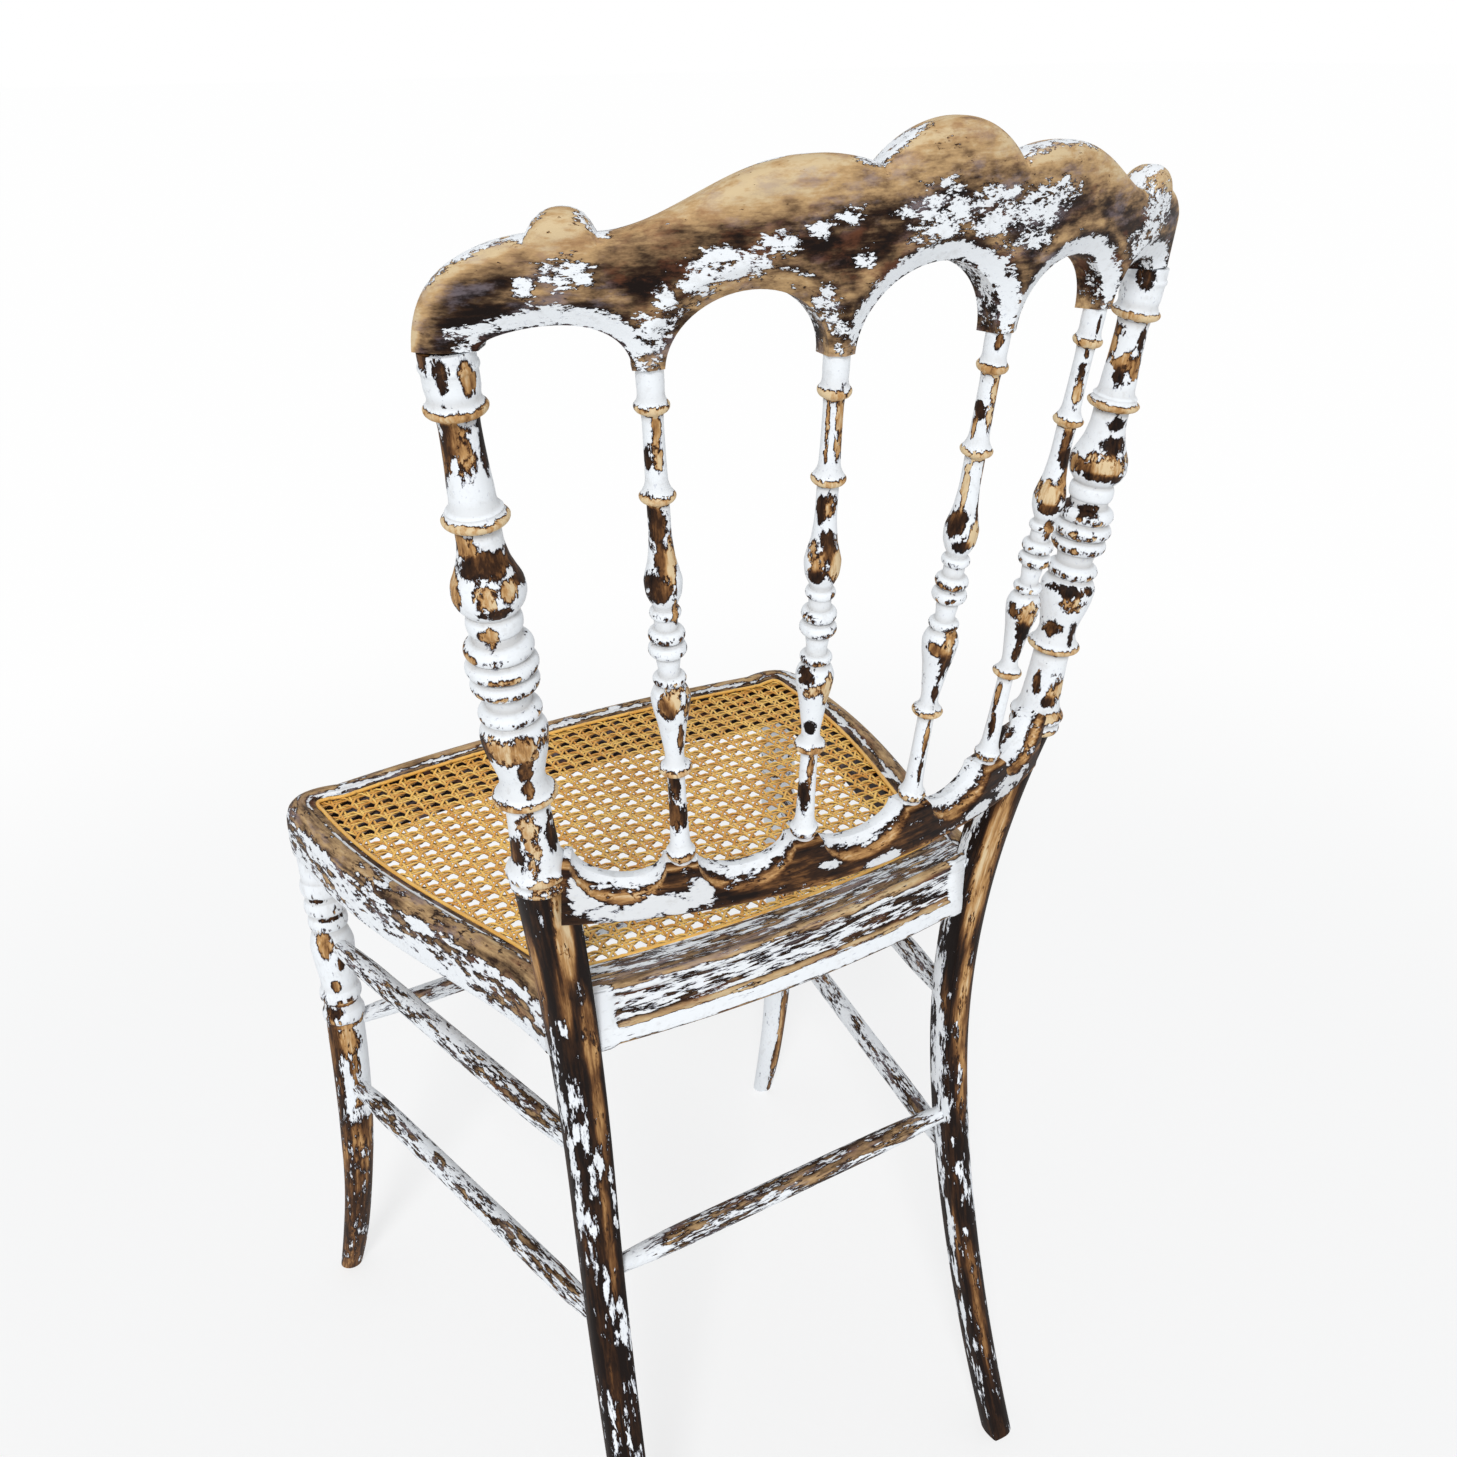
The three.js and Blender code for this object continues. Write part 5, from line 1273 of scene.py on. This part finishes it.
STRIPPED_FADE, STRIPPED_BARE, STRIPPED_PALE = 30.0, 0.3, 0.45


def front_leg_centre(z):
    """Middle of the left front leg: straight above the knee, then swept out by a power of the drop."""
    bend = (np.clip(KNEE_Z - z, 0, None) / KNEE_Z) ** SWEEP
    return FRONT_TOP_XY + bend[..., None] * (FRONT_FOOT_XY - FRONT_TOP_XY)


def front_leg(name, side):
    """Level rings of the turned radius about the swept middle, closer together where the leg is turned."""
    taper, turning = np.arange(0.0, TURNED_FROM, TAPER_STEP), np.arange(TURNED_FROM, FRONT_TOP, TURNED_STEP)
    z = np.concatenate([taper, turning])
    level, radius = z[:, None], turned_radius(FRONT_NECKS, FRONT_BEADS, FRONT_FLARES, z)
    turn = full_turn(FRONT_SIDES)
    centre = front_leg_centre(z) * (side, 1.0)
    round_by = turn + math.radians(FRONT_FACING[name])
    x = centre[:, :1] + radius[:, None] * np.cos(round_by)
    y = centre[:, 1:] + radius[:, None] * np.sin(round_by)
    points = coordinates(x, y, level)
    across = radius[:, None] * np.sin(turn)
    bare, sand, grime = turned_wear(FRONT_PLACES[name], FRONT_BEADS, z, radius, across)
    stripped = np.clip((STRIPPED_BELOW[name] - level) / STRIPPED_FADE, 0, 1)
    bare = bare * (1 - stripped) + STRIPPED_BARE * stripped
    sand = sand * (1 - stripped) + STRIPPED_PALE * stripped
    grime = grime * (level > TURNED_FROM)
    return bar_piece(name, points, leg_grain(points, z, centre), bare, sand, grime, [name])


for label in FRONT_PLACES:
    front_leg(label, 1 if label.endswith("left") else -1)

# %% [markdown]
# ## Stretchers
# Six plain stretchers tie the legs. They swell a little in the middle and shrink to the round tenon at
# each end. The side that faces up, back and to the left, towards the lamp, is rubbed most, and its wood
# is paler there from rubbing and from a painted highlight. Paint held on next to the legs.

# %% Stretchers
STRETCHER_MIDDLE, STRETCHER_END, STRETCHER_SIDES, STRETCHER_STEP = 7.2, 5.6, 26, 2.5
START_INSET, END_INSET, SWELL_FROM, SWELL_LENGTH = 4.0, 3.0, 16.0, 46.0
RUBBED_AND_LIT_SIDE = np.array([0.43, 0.62, 0.66])
RUB_BARE, RUB_LESS, FADE_SWING, FADE_RUN = 0.24, 0.12, 0.08, 37.0
END_FADE, END_PAINT, END_PAINT_WORN = (47.6, 13.6), 0.1, 2.2
STRETCHER_PALE, RUBBED_AND_LIT_PALE = 0.22, 0.4
SIDE_LEVELS, FRONT_LEVEL, REAR_LEVEL = {"upper": 342.0, "lower": 219.0}, 274.0, 257.0
SIDE_WORN, FRONT_WORN, REAR_WORN = -0.04, -0.1, 0.12


def stretcher(name, start, end, worn):
    """Rings about the straight line between two leg centres; the radius swells from the ends to the
    middle."""
    length = np.linalg.norm(end - start)
    line = (end - start) / length
    along = np.arange(START_INSET, length - END_INSET, STRETCHER_STEP)
    from_end = np.minimum(along, length - along)
    swell = np.clip((from_end - SWELL_FROM) / SWELL_LENGTH, 0, 1)
    radius = STRETCHER_END + (STRETCHER_MIDDLE - STRETCHER_END) * swell * (2 - swell)
    turn = full_turn(STRETCHER_SIDES)
    up = np.array([0.0, 0.0, 1.0]) - line * line[2]
    up /= np.linalg.norm(up)
    spokes = np.cos(turn)[:, None] * up + np.sin(turn)[:, None] * np.cross(line, up)
    points = start + along[:, None, None] * line + radius[:, None, None] * spokes
    # Rubbed most on the side towards the lamp, where a painted highlight also makes the wood paler.
    rubbed = np.clip(spokes @ RUBBED_AND_LIT_SIDE, 0, 1) ** 2
    bare = worn + RUB_BARE * rubbed - RUB_LESS + FADE_SWING * np.sin(along / FADE_RUN)[:, None]
    bare = bare - (END_PAINT + END_PAINT_WORN * np.clip(worn, 0, 1)) * ramp(from_end, *END_FADE)[:, None]
    sand = STRETCHER_PALE + RUBBED_AND_LIT_PALE * rubbed + 0 * bare
    grain = coordinates(along[:, None], radius[:, None] * np.cos(turn), radius[:, None] * np.sin(turn))
    return bar_piece(name, points, grain, bare, sand, 0 * bare, [name])


def leg_place(centre, z, side):
    """The middle of a leg at a height, on the left for 1 and the right for -1."""
    x, y = centre(np.array(z))
    return np.array([side * x, y, z])


def across_legs(name, centre, z, worn):
    """A stretcher from the right leg of a pair to the left one."""
    return stretcher(name, leg_place(centre, z, -1), leg_place(centre, z, 1), worn)


for side, hand in ((1, "left"), (-1, "right")):
    for level, z in SIDE_LEVELS.items():
        rear, front = leg_place(rear_leg_centre, z, side), leg_place(front_leg_centre, z, side)
        stretcher(f"stretcher_{hand}_{level}", rear, front, SIDE_WORN)
across_legs("stretcher_front", front_leg_centre, FRONT_LEVEL, FRONT_WORN)
across_legs("stretcher_rear", rear_leg_centre, REAR_LEVEL, REAR_WORN)

# %% [markdown]
# ## A bench for nodes
# The finishes are built from shader nodes. A small class holds one tree and gives each kind of step a
# short name, so that a recipe below reads as a sum does.


# %% Bench for nodes
class NodeBench:
    """Short ways to add and join nodes in one tree."""

    def __init__(self, tree):
        self.tree = tree

    def node(self, kind, **settings):
        """A new node with its settings."""
        made = self.tree.nodes.new(kind)
        for key, value in settings.items():
            setattr(made, key, value)
        return made

    def feed(self, socket, value):
        """Joins a socket to another one, or sets it to a plain value."""
        if isinstance(value, bpy.types.NodeSocket):
            self.tree.links.new(value, socket)
        else:
            socket.default_value = value

    def calc(self, operation, a, b=0.0, c=0.0):
        """One step of arithmetic."""
        made = self.node("ShaderNodeMath", operation=operation)
        for socket, value in zip(made.inputs, (a, b, c)):
            self.feed(socket, value)
        return made.outputs[0]

    def between(self, value, low, high, start=0.0, end=1.0):
        """A soft step from start to end while the value goes from low to high."""
        made = self.node("ShaderNodeMapRange", interpolation_type="SMOOTHSTEP")
        for socket, number in zip(made.inputs, (value, low, high, start, end)):
            self.feed(socket, number)
        return made.outputs[0]

    def noise(self, place, size, detail, rough):
        """Cloudy noise; a larger size number makes smaller clouds."""
        made = self.node("ShaderNodeTexNoise")
        for label, value in (("Vector", place), ("Scale", size), ("Detail", detail), ("Roughness", rough)):
            self.feed(made.inputs[label], value)
        return made.outputs["Fac"]

    def blend(self, share, a, b):
        """Colour a where the share is 0 and colour b where it is 1."""
        made = self.node("ShaderNodeMix", data_type="RGBA")
        for number, value in ((0, share), (6, a), (7, b)):
            self.feed(made.inputs[number], value)
        return made.outputs[2]

    def stretch(self, place, factors, operation="MULTIPLY"):
        """A place times factors, or with another step between the two."""
        made = self.node("ShaderNodeVectorMath", operation=operation)
        self.feed(made.inputs[0], place)
        self.feed(made.inputs[1], factors)
        return made.outputs[0]

    def drawn(self, place, factor):
        """A place whose first axis, along the grain, is multiplied by a factor."""
        factors = self.node("ShaderNodeCombineXYZ")
        for socket, value in zip(factors.inputs, (factor, 1.0, 1.0)):
            self.feed(socket, value)
        return self.stretch(place, factors.outputs[0])

    def swing(self, noise, amount, onto):
        """A noise about its middle, times an amount, added onto a value."""
        return self.calc("MULTIPLY_ADD", self.calc("SUBTRACT", noise, 0.5), amount, onto)

    def tones(self, value, stops):
        """The colour at a value between (position, colour) stops."""
        made = self.node("ShaderNodeValToRGB")
        elements = made.color_ramp.elements
        elements.remove(elements[1])
        elements[0].position, elements[0].color = stops[0]
        for position, color in stops[1:]:
            elements.new(position).color = color
        self.feed(made.inputs[0], value)
        return made.outputs[0]


print("bench ready:", len([name for name in vars(NodeBench) if not name.startswith("_")]), "steps")

# %% [markdown]
# ## Colours of paint and wood
# The wood goes from near black stain through brown to tan by how far it was rubbed, with clouds, a
# finer mottle and fibres along the grain, and is darkest beside the paint. Washed pieces are paler and
# keep a violet haze and red stain in patches. Paint is white, bluish where it runs out and dull in
# hollows, where dirt and painted shade lie.

# %% Colours of paint and wood
WHITE_PAINT, THIN_PAINT = (0.87, 0.90, 0.93, 1), (0.46, 0.48, 0.58, 1)
DULL_PAINT = (0.55, 0.54, 0.53, 1)
WASHED_WOOD, PAINT_HAZE, RED_STAIN = (0.56, 0.43, 0.25, 1), (0.34, 0.28, 0.31, 1), (0.24, 0.085, 0.04, 1)
WOOD_TONES = [
    (0.0, (0.008, 0.004, 0.003, 1)), (0.28, (0.042, 0.018, 0.008, 1)), (0.5, (0.17, 0.075, 0.026, 1)),
    (0.74, (0.50, 0.275, 0.105, 1)), (0.97, (0.72, 0.555, 0.335, 1)),
]
# A noise is its size, its detail and its roughness.
FIBRE_NOISE, CLOUD_NOISE, MOTTLE_NOISE = (520.0, 4.0, 0.65), (85.0, 5.0, 0.65), (270.0, 4.0, 0.65)
HAZE_NOISE, RED_NOISE = (120.0, 5.0, 0.7), (38.0, 3.0, 0.6)
DULL_NOISE, SCUFF_NOISE = (240.0, 3.0, 0.6), (800.0, 2.0, 0.6)
FIBRE_DRAWN, SAND_SHARE, CLOUD_SWING, MOTTLE_SWING = 0.05, 0.9, 1.35, 1.0
# A step is from where to where the value goes, and then what the result goes from and to.
BESIDE_PAINT, DULL_STEP, SCUFF_STEP = (0.02, 0.3, 0.1, 1.0), (0.5, 0.8, 0.0, 0.35), (0.62, 0.74, 0.0, 0.5)
WASH_STEP, HAZE_STEP, RED_STEP, THIN_STEP = (0.1, 0.8), (0.48, 0.68), (0.45, 0.58), (-0.08, 0.0)
DIRT_AND_SHADE_DULL, THIN_MOST = 0.75, 0.65


def wood_colour(bench, given, place, torn):
    """Tone of the wood: the rubbed amount plus clouds, mottle and fibres, made dark beside the paint.
    The wash mixes in the washed wood by tone, then patches of haze and red stain. Gives the colour and
    the fibres."""
    fibre = bench.noise(bench.stretch(given["Grain"], (FIBRE_DRAWN, 1.0, 1.0)), *FIBRE_NOISE)
    along = bench.drawn(given["Grain"], given["Streak"])
    tone = bench.calc("MULTIPLY", given["Sand"], SAND_SHARE)
    tone = bench.swing(bench.noise(along, *CLOUD_NOISE), CLOUD_SWING, tone)
    tone = bench.swing(bench.noise(along, *MOTTLE_NOISE), MOTTLE_SWING, tone)
    tone = bench.swing(fibre, given["Fibre"], tone)
    tone = bench.calc("MULTIPLY", tone, bench.between(torn, *BESIDE_PAINT))
    wash = bench.calc("MULTIPLY", bench.between(tone, *WASH_STEP), given["Wash"])
    wood = bench.blend(wash, bench.tones(tone, WOOD_TONES), WASHED_WOOD)
    patches = bench.between(bench.noise(place, *HAZE_NOISE), *HAZE_STEP)
    reddish = bench.between(bench.noise(along, *RED_NOISE), *RED_STEP)
    haze = bench.blend(reddish, PAINT_HAZE, RED_STAIN)
    return bench.blend(bench.calc("MULTIPLY", patches, given["Wash"]), wood, haze), fibre


def paint_colour(bench, given, place, torn):
    """White paint, thin and bluish where it runs out, dull in hollows from dirt and painted shade, with
    small dirty scuffs.
    """
    dull = bench.between(bench.noise(given["Grain"], *DULL_NOISE), *DULL_STEP)
    # Dirt and painted shade: the paint dulls where the piece keeps hollows, creases and grooves.
    dull = bench.calc("MULTIPLY_ADD", given["Dirt And Shade"], DIRT_AND_SHADE_DULL, dull)
    paint = bench.blend(dull, WHITE_PAINT, DULL_PAINT)
    scuff = bench.between(bench.noise(place, *SCUFF_NOISE), *SCUFF_STEP)
    thin = bench.calc("MULTIPLY", bench.between(torn, *THIN_STEP), THIN_MOST)
    return bench.blend(bench.calc("MAXIMUM", scuff, thin), paint, THIN_PAINT)


print("wood has", len(WOOD_TONES), "tones")

# %% [markdown]
# ## Peeling paint
# One group of nodes decides, at each place, whether paint is left. It adds torn noise to the piece's
# own bareness: below the threshold there is paint, just above it dark stain, and further in the wood
# was rubbed to tan. The edge of the paint is kept crisp because old paint breaks off in scales. The
# group puts out colour, roughness and a height for the bump.

# %% Peeling paint
GROUP_VALUES = {
    "Bare": 0.0, "Sand": 0.5, "Dirt And Shade": 0.0, "Scale Size": 120.0, "Drawn Out": 0.5, "Torn": 1.2,
    "Fine Torn": 0.7, "Scales": 0.5, "Fibre": 0.4, "Wash": 0.0, "Streak": 0.3,
}
GROUP_RESULTS = {"Color": "NodeSocketColor", "Roughness": "NodeSocketFloat", "Height": "NodeSocketFloat"}
COARSE_DETAIL, FINE_DETAIL = (5.0, 0.62), (3.0, 0.6)
FINE_TIMES, SCALE_TIMES, SCALE_BEND = 4.3, 2.2, 0.004
GONE_STEP, FILM_STEP, ROUGH_STEP = (0.0, 0.02), (-0.06, 0.03), (0.0, 1.0, 0.45, 0.58)
FINE_LIFT, FIBRE_LIFT = 0.2, 0.25


def torn_edge(bench, given, place):
    """Bareness with the tearing added: a coarse noise, a fine one, and a random step for each scale of
    paint. Gives that and the fine noise."""
    size = given["Scale Size"]
    coarse = bench.noise(place, size, *COARSE_DETAIL)
    fine = bench.noise(place, bench.calc("MULTIPLY", size, FINE_TIMES), *FINE_DETAIL)
    scales = bench.node("ShaderNodeTexVoronoi")
    bent = bench.stretch(bench.stretch(fine, (SCALE_BEND, SCALE_BEND, SCALE_BEND)), place, "ADD")
    bench.feed(scales.inputs["Vector"], bent)
    bench.feed(scales.inputs["Scale"], bench.calc("MULTIPLY", size, SCALE_TIMES))
    torn = bench.swing(coarse, given["Torn"], given["Bare"])
    torn = bench.swing(fine, given["Fine Torn"], torn)
    return bench.swing(scales.outputs["Color"], given["Scales"], torn), fine


def group_tree():
    """The empty group with what it takes in and puts out."""
    tree = bpy.data.node_groups.new("peeling_paint", "ShaderNodeTree")
    tree.interface.new_socket("Grain", in_out="INPUT", socket_type="NodeSocketVector")
    for label, value in GROUP_VALUES.items():
        socket = tree.interface.new_socket(label, in_out="INPUT", socket_type="NodeSocketFloat")
        socket.default_value = value
    for label, kind in GROUP_RESULTS.items():
        tree.interface.new_socket(label, in_out="OUTPUT", socket_type=kind)
    return tree


def peeling_group():
    """Paint where the torn bareness is below 0 and wood above it. The height is the film of paint, with
    a little of the fibres and of the fine noise."""
    tree = group_tree()
    bench = NodeBench(tree)
    given = bench.node("NodeGroupInput").outputs
    place = bench.drawn(given["Grain"], given["Drawn Out"])
    torn, fine = torn_edge(bench, given, place)
    gone = bench.between(torn, *GONE_STEP)
    wood, fibre = wood_colour(bench, given, place, torn)
    paint = paint_colour(bench, given, place, torn)
    film = bench.calc("SUBTRACT", 1.0, bench.between(torn, *FILM_STEP))
    height = bench.calc("MULTIPLY_ADD", fibre, FIBRE_LIFT, film)
    result = bench.node("NodeGroupOutput")
    bench.feed(result.inputs["Color"], bench.blend(gone, paint, wood))
    bench.feed(result.inputs["Roughness"], bench.between(gone, *ROUGH_STEP))
    bench.feed(result.inputs["Height"], bench.calc("MULTIPLY_ADD", fine, FINE_LIFT, height))
    return tree


PEELING = peeling_group()
print("peeling paint group:", len(PEELING.nodes), "nodes")

# %% [markdown]
# ## Finishes
# The turned pieces, the streaked rails and stretchers, and the scraped crest share that group; they
# differ in how large the scales of paint are, how far these are drawn out along the grain, and how much
# the wood was washed. Cane has its own golden, glossy skin.

# %% Finishes
FINISH_COLUMNS = ("Scale Size", "Drawn Out", "Torn", "Fine Torn", "Scales", "Fibre", "Wash", "Streak")
PAINT_FINISHES = {
    "turned_paint": (150.0, 0.6, 1.5, 0.8, 0.55, 0.6, 0.0, 0.3),
    "rail_paint": (80.0, 0.4, 1.6, 1.5, 0.4, 0.6, 0.45, 0.3),
    "face_paint": (200.0, 0.16, 1.6, 1.2, 0.6, 0.5, 0.5, 0.3),
    "stretcher_paint": (190.0, 0.2, 1.5, 1.2, 0.5, 0.5, 0.45, 0.3),
    "scraped_crest": (210.0, 0.5, 1.7, 1.7, 0.8, 0.4, 0.4, 0.45),
}
BUMP_STRENGTH, BUMP_DISTANCE, PAINT_SHINE = 0.7, 0.0006, 0.1
DARK_CANE, LIGHT_CANE, CANE_SHADE = (0.70, 0.29, 0.033, 1), (1.0, 0.63, 0.155, 1), (0.09, 0.035, 0.008, 1)
CANE_NOISE, CANE_DRAWN, CANE_ROUGHNESS = (420.0, 3.0, 0.6), 0.12, 0.42
TONE_SHARE, STREAK_SHARE, CANE_STEP = 0.5, 0.6, (0.2, 0.8)
# How far the painted shade darkens the sides of a strand and the deep weave, and its most.
EDGE_SHADE_STEP, SUNK_SHADE, MOST_SHADE = (0.35, 1.0, 0.0, 0.8), 0.65, 0.9


def fresh_material(name):
    """An empty material with a shader joined to its output, and a bench to work on it."""
    material = bpy.data.materials.new(name)
    material.use_nodes = True
    material.node_tree.nodes.clear()
    bench = NodeBench(material.node_tree)
    shader = bench.node("ShaderNodeBsdfPrincipled")
    output = bench.node("ShaderNodeOutputMaterial")
    material.node_tree.links.new(shader.outputs[0], output.inputs["Surface"])
    return material, bench, shader


def kept(bench, label):
    """What the mesh keeps under a name."""
    return bench.node("ShaderNodeAttribute", attribute_name=label)


def painted(name):
    """Peeling paint over wood, with the finish's own row of values."""
    material, bench, shader = fresh_material(name)
    peel = bench.node("ShaderNodeGroup", node_tree=PEELING)
    bench.feed(peel.inputs["Grain"], kept(bench, "grain").outputs["Vector"])
    for label, source in (("Bare", "bare"), ("Sand", "sand"), ("Dirt And Shade", "grime")):
        bench.feed(peel.inputs[label], kept(bench, source).outputs["Fac"])
    for label, value in zip(FINISH_COLUMNS, PAINT_FINISHES[name]):
        peel.inputs[label].default_value = value
    bump = bench.node("ShaderNodeBump")
    bump.inputs["Strength"].default_value = BUMP_STRENGTH
    bump.inputs["Distance"].default_value = BUMP_DISTANCE
    bench.feed(bump.inputs["Height"], peel.outputs["Height"])
    bench.feed(shader.inputs["Base Color"], peel.outputs["Color"])
    bench.feed(shader.inputs["Roughness"], peel.outputs["Roughness"])
    bench.feed(shader.inputs["Normal"], bump.outputs[0])
    shader.inputs["Specular IOR Level"].default_value = PAINT_SHINE
    return material


def golden_cane(name):
    """Golden cane: each strand a little lighter or darker and streaked along it, with painted shade at its
    sides and deep in the weave."""
    material, bench, shader = fresh_material(name)
    grain = kept(bench, "grain").outputs["Vector"]
    streak = bench.noise(bench.stretch(grain, (CANE_DRAWN, 1.0, 1.0)), *CANE_NOISE)
    share = bench.calc("MULTIPLY", streak, STREAK_SHARE)
    share = bench.calc("MULTIPLY_ADD", kept(bench, "sand").outputs["Fac"], TONE_SHARE, share)
    color = bench.blend(bench.between(share, *CANE_STEP), DARK_CANE, LIGHT_CANE)
    # Painted shade: the sides and underside of each strand and the deep weave blend to the shade colour.
    edge = bench.between(kept(bench, "bare").outputs["Fac"], *EDGE_SHADE_STEP)
    shaded = bench.calc("MULTIPLY_ADD", kept(bench, "grime").outputs["Fac"], SUNK_SHADE, edge)
    color = bench.blend(bench.calc("MINIMUM", shaded, MOST_SHADE), color, CANE_SHADE)
    bench.feed(shader.inputs["Base Color"], color)
    shader.inputs["Roughness"].default_value = CANE_ROUGHNESS
    return material


FINISHES = {name: painted(name) for name in PAINT_FINISHES}
FINISHES["golden_cane"] = golden_cane("golden_cane")
print("finishes made:", list(FINISHES))

# %% [markdown]
# ## Which piece wears what
# The start of a piece's name tells its finish. All other pieces wear the turned paint: the posts, the
# spindles, the front legs and the lower back rail.

# %% Finish of each piece
PIECE_FINISH = {
    "cane": "golden_cane",
    "crest_rail": "scraped_crest",
    "seat_frame": "rail_paint",
    "seat_rear_rail": "face_paint",
    "stretcher": "stretcher_paint",
}


def finish_of(name):
    """The finish a piece wears, by what the piece is."""
    return next((finish for start, finish in PIECE_FINISH.items() if name.startswith(start)), "turned_paint")


for label, piece in PIECES.items():
    piece.data.materials.append(FINISHES[finish_of(label)])
print("finishes:", {name: sum(finish_of(p) == name for p in PIECES) for name in FINISHES})

# %% [markdown]
# ## Floor
# The chair stands on a plain white floor that keeps its shadow. To the eye the floor also glows, more
# so with distance, and fades to white; no more light falls on the chair for that.

# %% Floor
FLOOR_SIDE, FLOOR_COLOUR, FLOOR_ROUGHNESS = 80.0, (0.95, 0.95, 0.95, 1), 0.9
FLOOR_NEAR, FLOOR_FAR, FLOOR_GLOW = 0.7, 1.8, (0.68, 0.97)


def looked_at(bench):
    """1 for rays that a viewer or a shiny surface sends, 0 for rays that carry light onto the chair."""
    path = bench.node("ShaderNodeLightPath").outputs
    shiny = bench.calc("MAXIMUM", path["Is Glossy Ray"], path["Is Transmission Ray"])
    return bench.calc("MAXIMUM", path["Is Camera Ray"], shiny)


def white_floor():
    """White paint mixed with a white glow, whose share grows with the distance from the chair."""
    material, bench, shader = fresh_material("white_floor")
    shader.inputs["Base Color"].default_value = FLOOR_COLOUR
    shader.inputs["Roughness"].default_value = FLOOR_ROUGHNESS
    shader.inputs["Specular IOR Level"].default_value = 0.0
    glow = bench.node("ShaderNodeEmission")
    away = bench.node("ShaderNodeVectorMath", operation="LENGTH")
    bench.feed(away.inputs[0], bench.node("ShaderNodeTexCoord").outputs["Object"])
    whiter = bench.between(away.outputs["Value"], FLOOR_NEAR, FLOOR_FAR, *FLOOR_GLOW)
    seen = bench.node("ShaderNodeMixShader")
    bench.feed(seen.inputs[0], bench.calc("MULTIPLY", looked_at(bench), whiter))
    bench.feed(seen.inputs[1], shader.outputs[0])
    bench.feed(seen.inputs[2], glow.outputs[0])
    bench.feed(material.node_tree.nodes["Material Output"].inputs["Surface"], seen.outputs[0])
    return material


floor_mesh = bpy.data.meshes.new("floor")
reach = FLOOR_SIDE / 2
floor_corners = [(-reach, -reach, 0), (reach, -reach, 0), (reach, reach, 0), (-reach, reach, 0)]
floor_mesh.from_pydata(floor_corners, [], [(0, 1, 2, 3)])
floor_mesh.materials.append(white_floor())
floor = bpy.data.objects.new("floor", floor_mesh)
bpy.context.scene.collection.objects.link(floor)
print("floor", FLOOR_SIDE, "m square")

# %% [markdown]
# ## Light
# An even sky lights the chair from all sides, and one wide lamp from behind and to its left gives the
# soft shadows of the photograph. The sky looks pure white, but the light it sends is weaker.

# %% Light
SUN_ROUND, SUN_UP, SUN_SPREAD, SUN_LEVEL = math.radians(57.0), math.radians(32.0), math.radians(15.0), 1.75
SKY_LEVEL, SKY_COLOUR, WHITE = 0.54, (0.96, 0.98, 1.0, 1), (1, 1, 1, 1)


def even_sky(name):
    """A sky that is white to look at and sends a weaker, slightly blue light."""
    world = bpy.data.worlds.new(name)
    world.use_nodes = True
    world.node_tree.nodes.clear()
    bench = NodeBench(world.node_tree)
    pick = bench.node("ShaderNodeMixShader")
    bench.feed(pick.inputs[0], looked_at(bench))
    for socket, color, level in ((pick.inputs[1], SKY_COLOUR, SKY_LEVEL), (pick.inputs[2], WHITE, 1.0)):
        light = bench.node("ShaderNodeBackground")
        light.inputs["Color"].default_value = color
        light.inputs["Strength"].default_value = level
        bench.feed(socket, light.outputs[0])
    bench.feed(bench.node("ShaderNodeOutputWorld").inputs["Surface"], pick.outputs[0])
    return world


def wide_sun(name):
    """A far lamp with a wide disc, at its angle round from +X and its angle up from the floor."""
    lamp = bpy.data.lights.new(name, "SUN")
    lamp.angle, lamp.energy = SUN_SPREAD, SUN_LEVEL
    holder = bpy.data.objects.new(name, lamp)
    bpy.context.scene.collection.objects.link(holder)
    flat = math.cos(SUN_UP)
    towards = Vector((flat * math.cos(SUN_ROUND), flat * math.sin(SUN_ROUND), math.sin(SUN_UP)))
    holder.rotation_euler = towards.to_track_quat("Z", "Y").to_euler()
    return holder


bpy.context.scene.world = even_sky("studio")
window = wide_sun("window")
print("lamp turned by", [round(math.degrees(angle), 1) for angle in window.rotation_euler], "degrees")

# %% [markdown]
# ## Camera
# The camera has the photograph's place, behind and above the left post. Its place, its three axes and
# its lens were fitted to the rings, the stretchers and the cane that the photograph shows.

# %% Camera
CAMERA_AT = np.array([362.493, 578.947, 901.353])
CAMERA_RIGHT = (-0.82798806, 0.56067544, -0.00887813)
CAMERA_UP = (-0.24094053, -0.34142763, 0.90850142)
CAMERA_BACK = (0.50634319, 0.75436743, 0.41778744)
CAMERA_LENS, SENSOR_WIDTH, LENS_SHIFT, SEEN_RANGE = 36.748, 36.0, (-0.0861, -0.0062), (0.01, 60.0)

camera = bpy.data.objects.new("camera", bpy.data.cameras.new("camera"))
bpy.context.scene.collection.objects.link(camera)
placed = np.eye(4)
placed[:3, 0], placed[:3, 1], placed[:3, 2] = CAMERA_RIGHT, CAMERA_UP, CAMERA_BACK
placed[:3, 3] = (CAMERA_AT + (0.0, BACK_SHIFT, 0.0)) * MM
camera.matrix_world = Matrix(placed.tolist())
camera.data.sensor_width = SENSOR_WIDTH
camera.data.lens = CAMERA_LENS
camera.data.shift_x, camera.data.shift_y = LENS_SHIFT
camera.data.clip_start, camera.data.clip_end = SEEN_RANGE
bpy.context.scene.camera = camera
bpy.context.scene.view_settings.view_transform = "Standard"
print("camera at", placed[:3, 3].round(3), "m")

# %% [markdown]
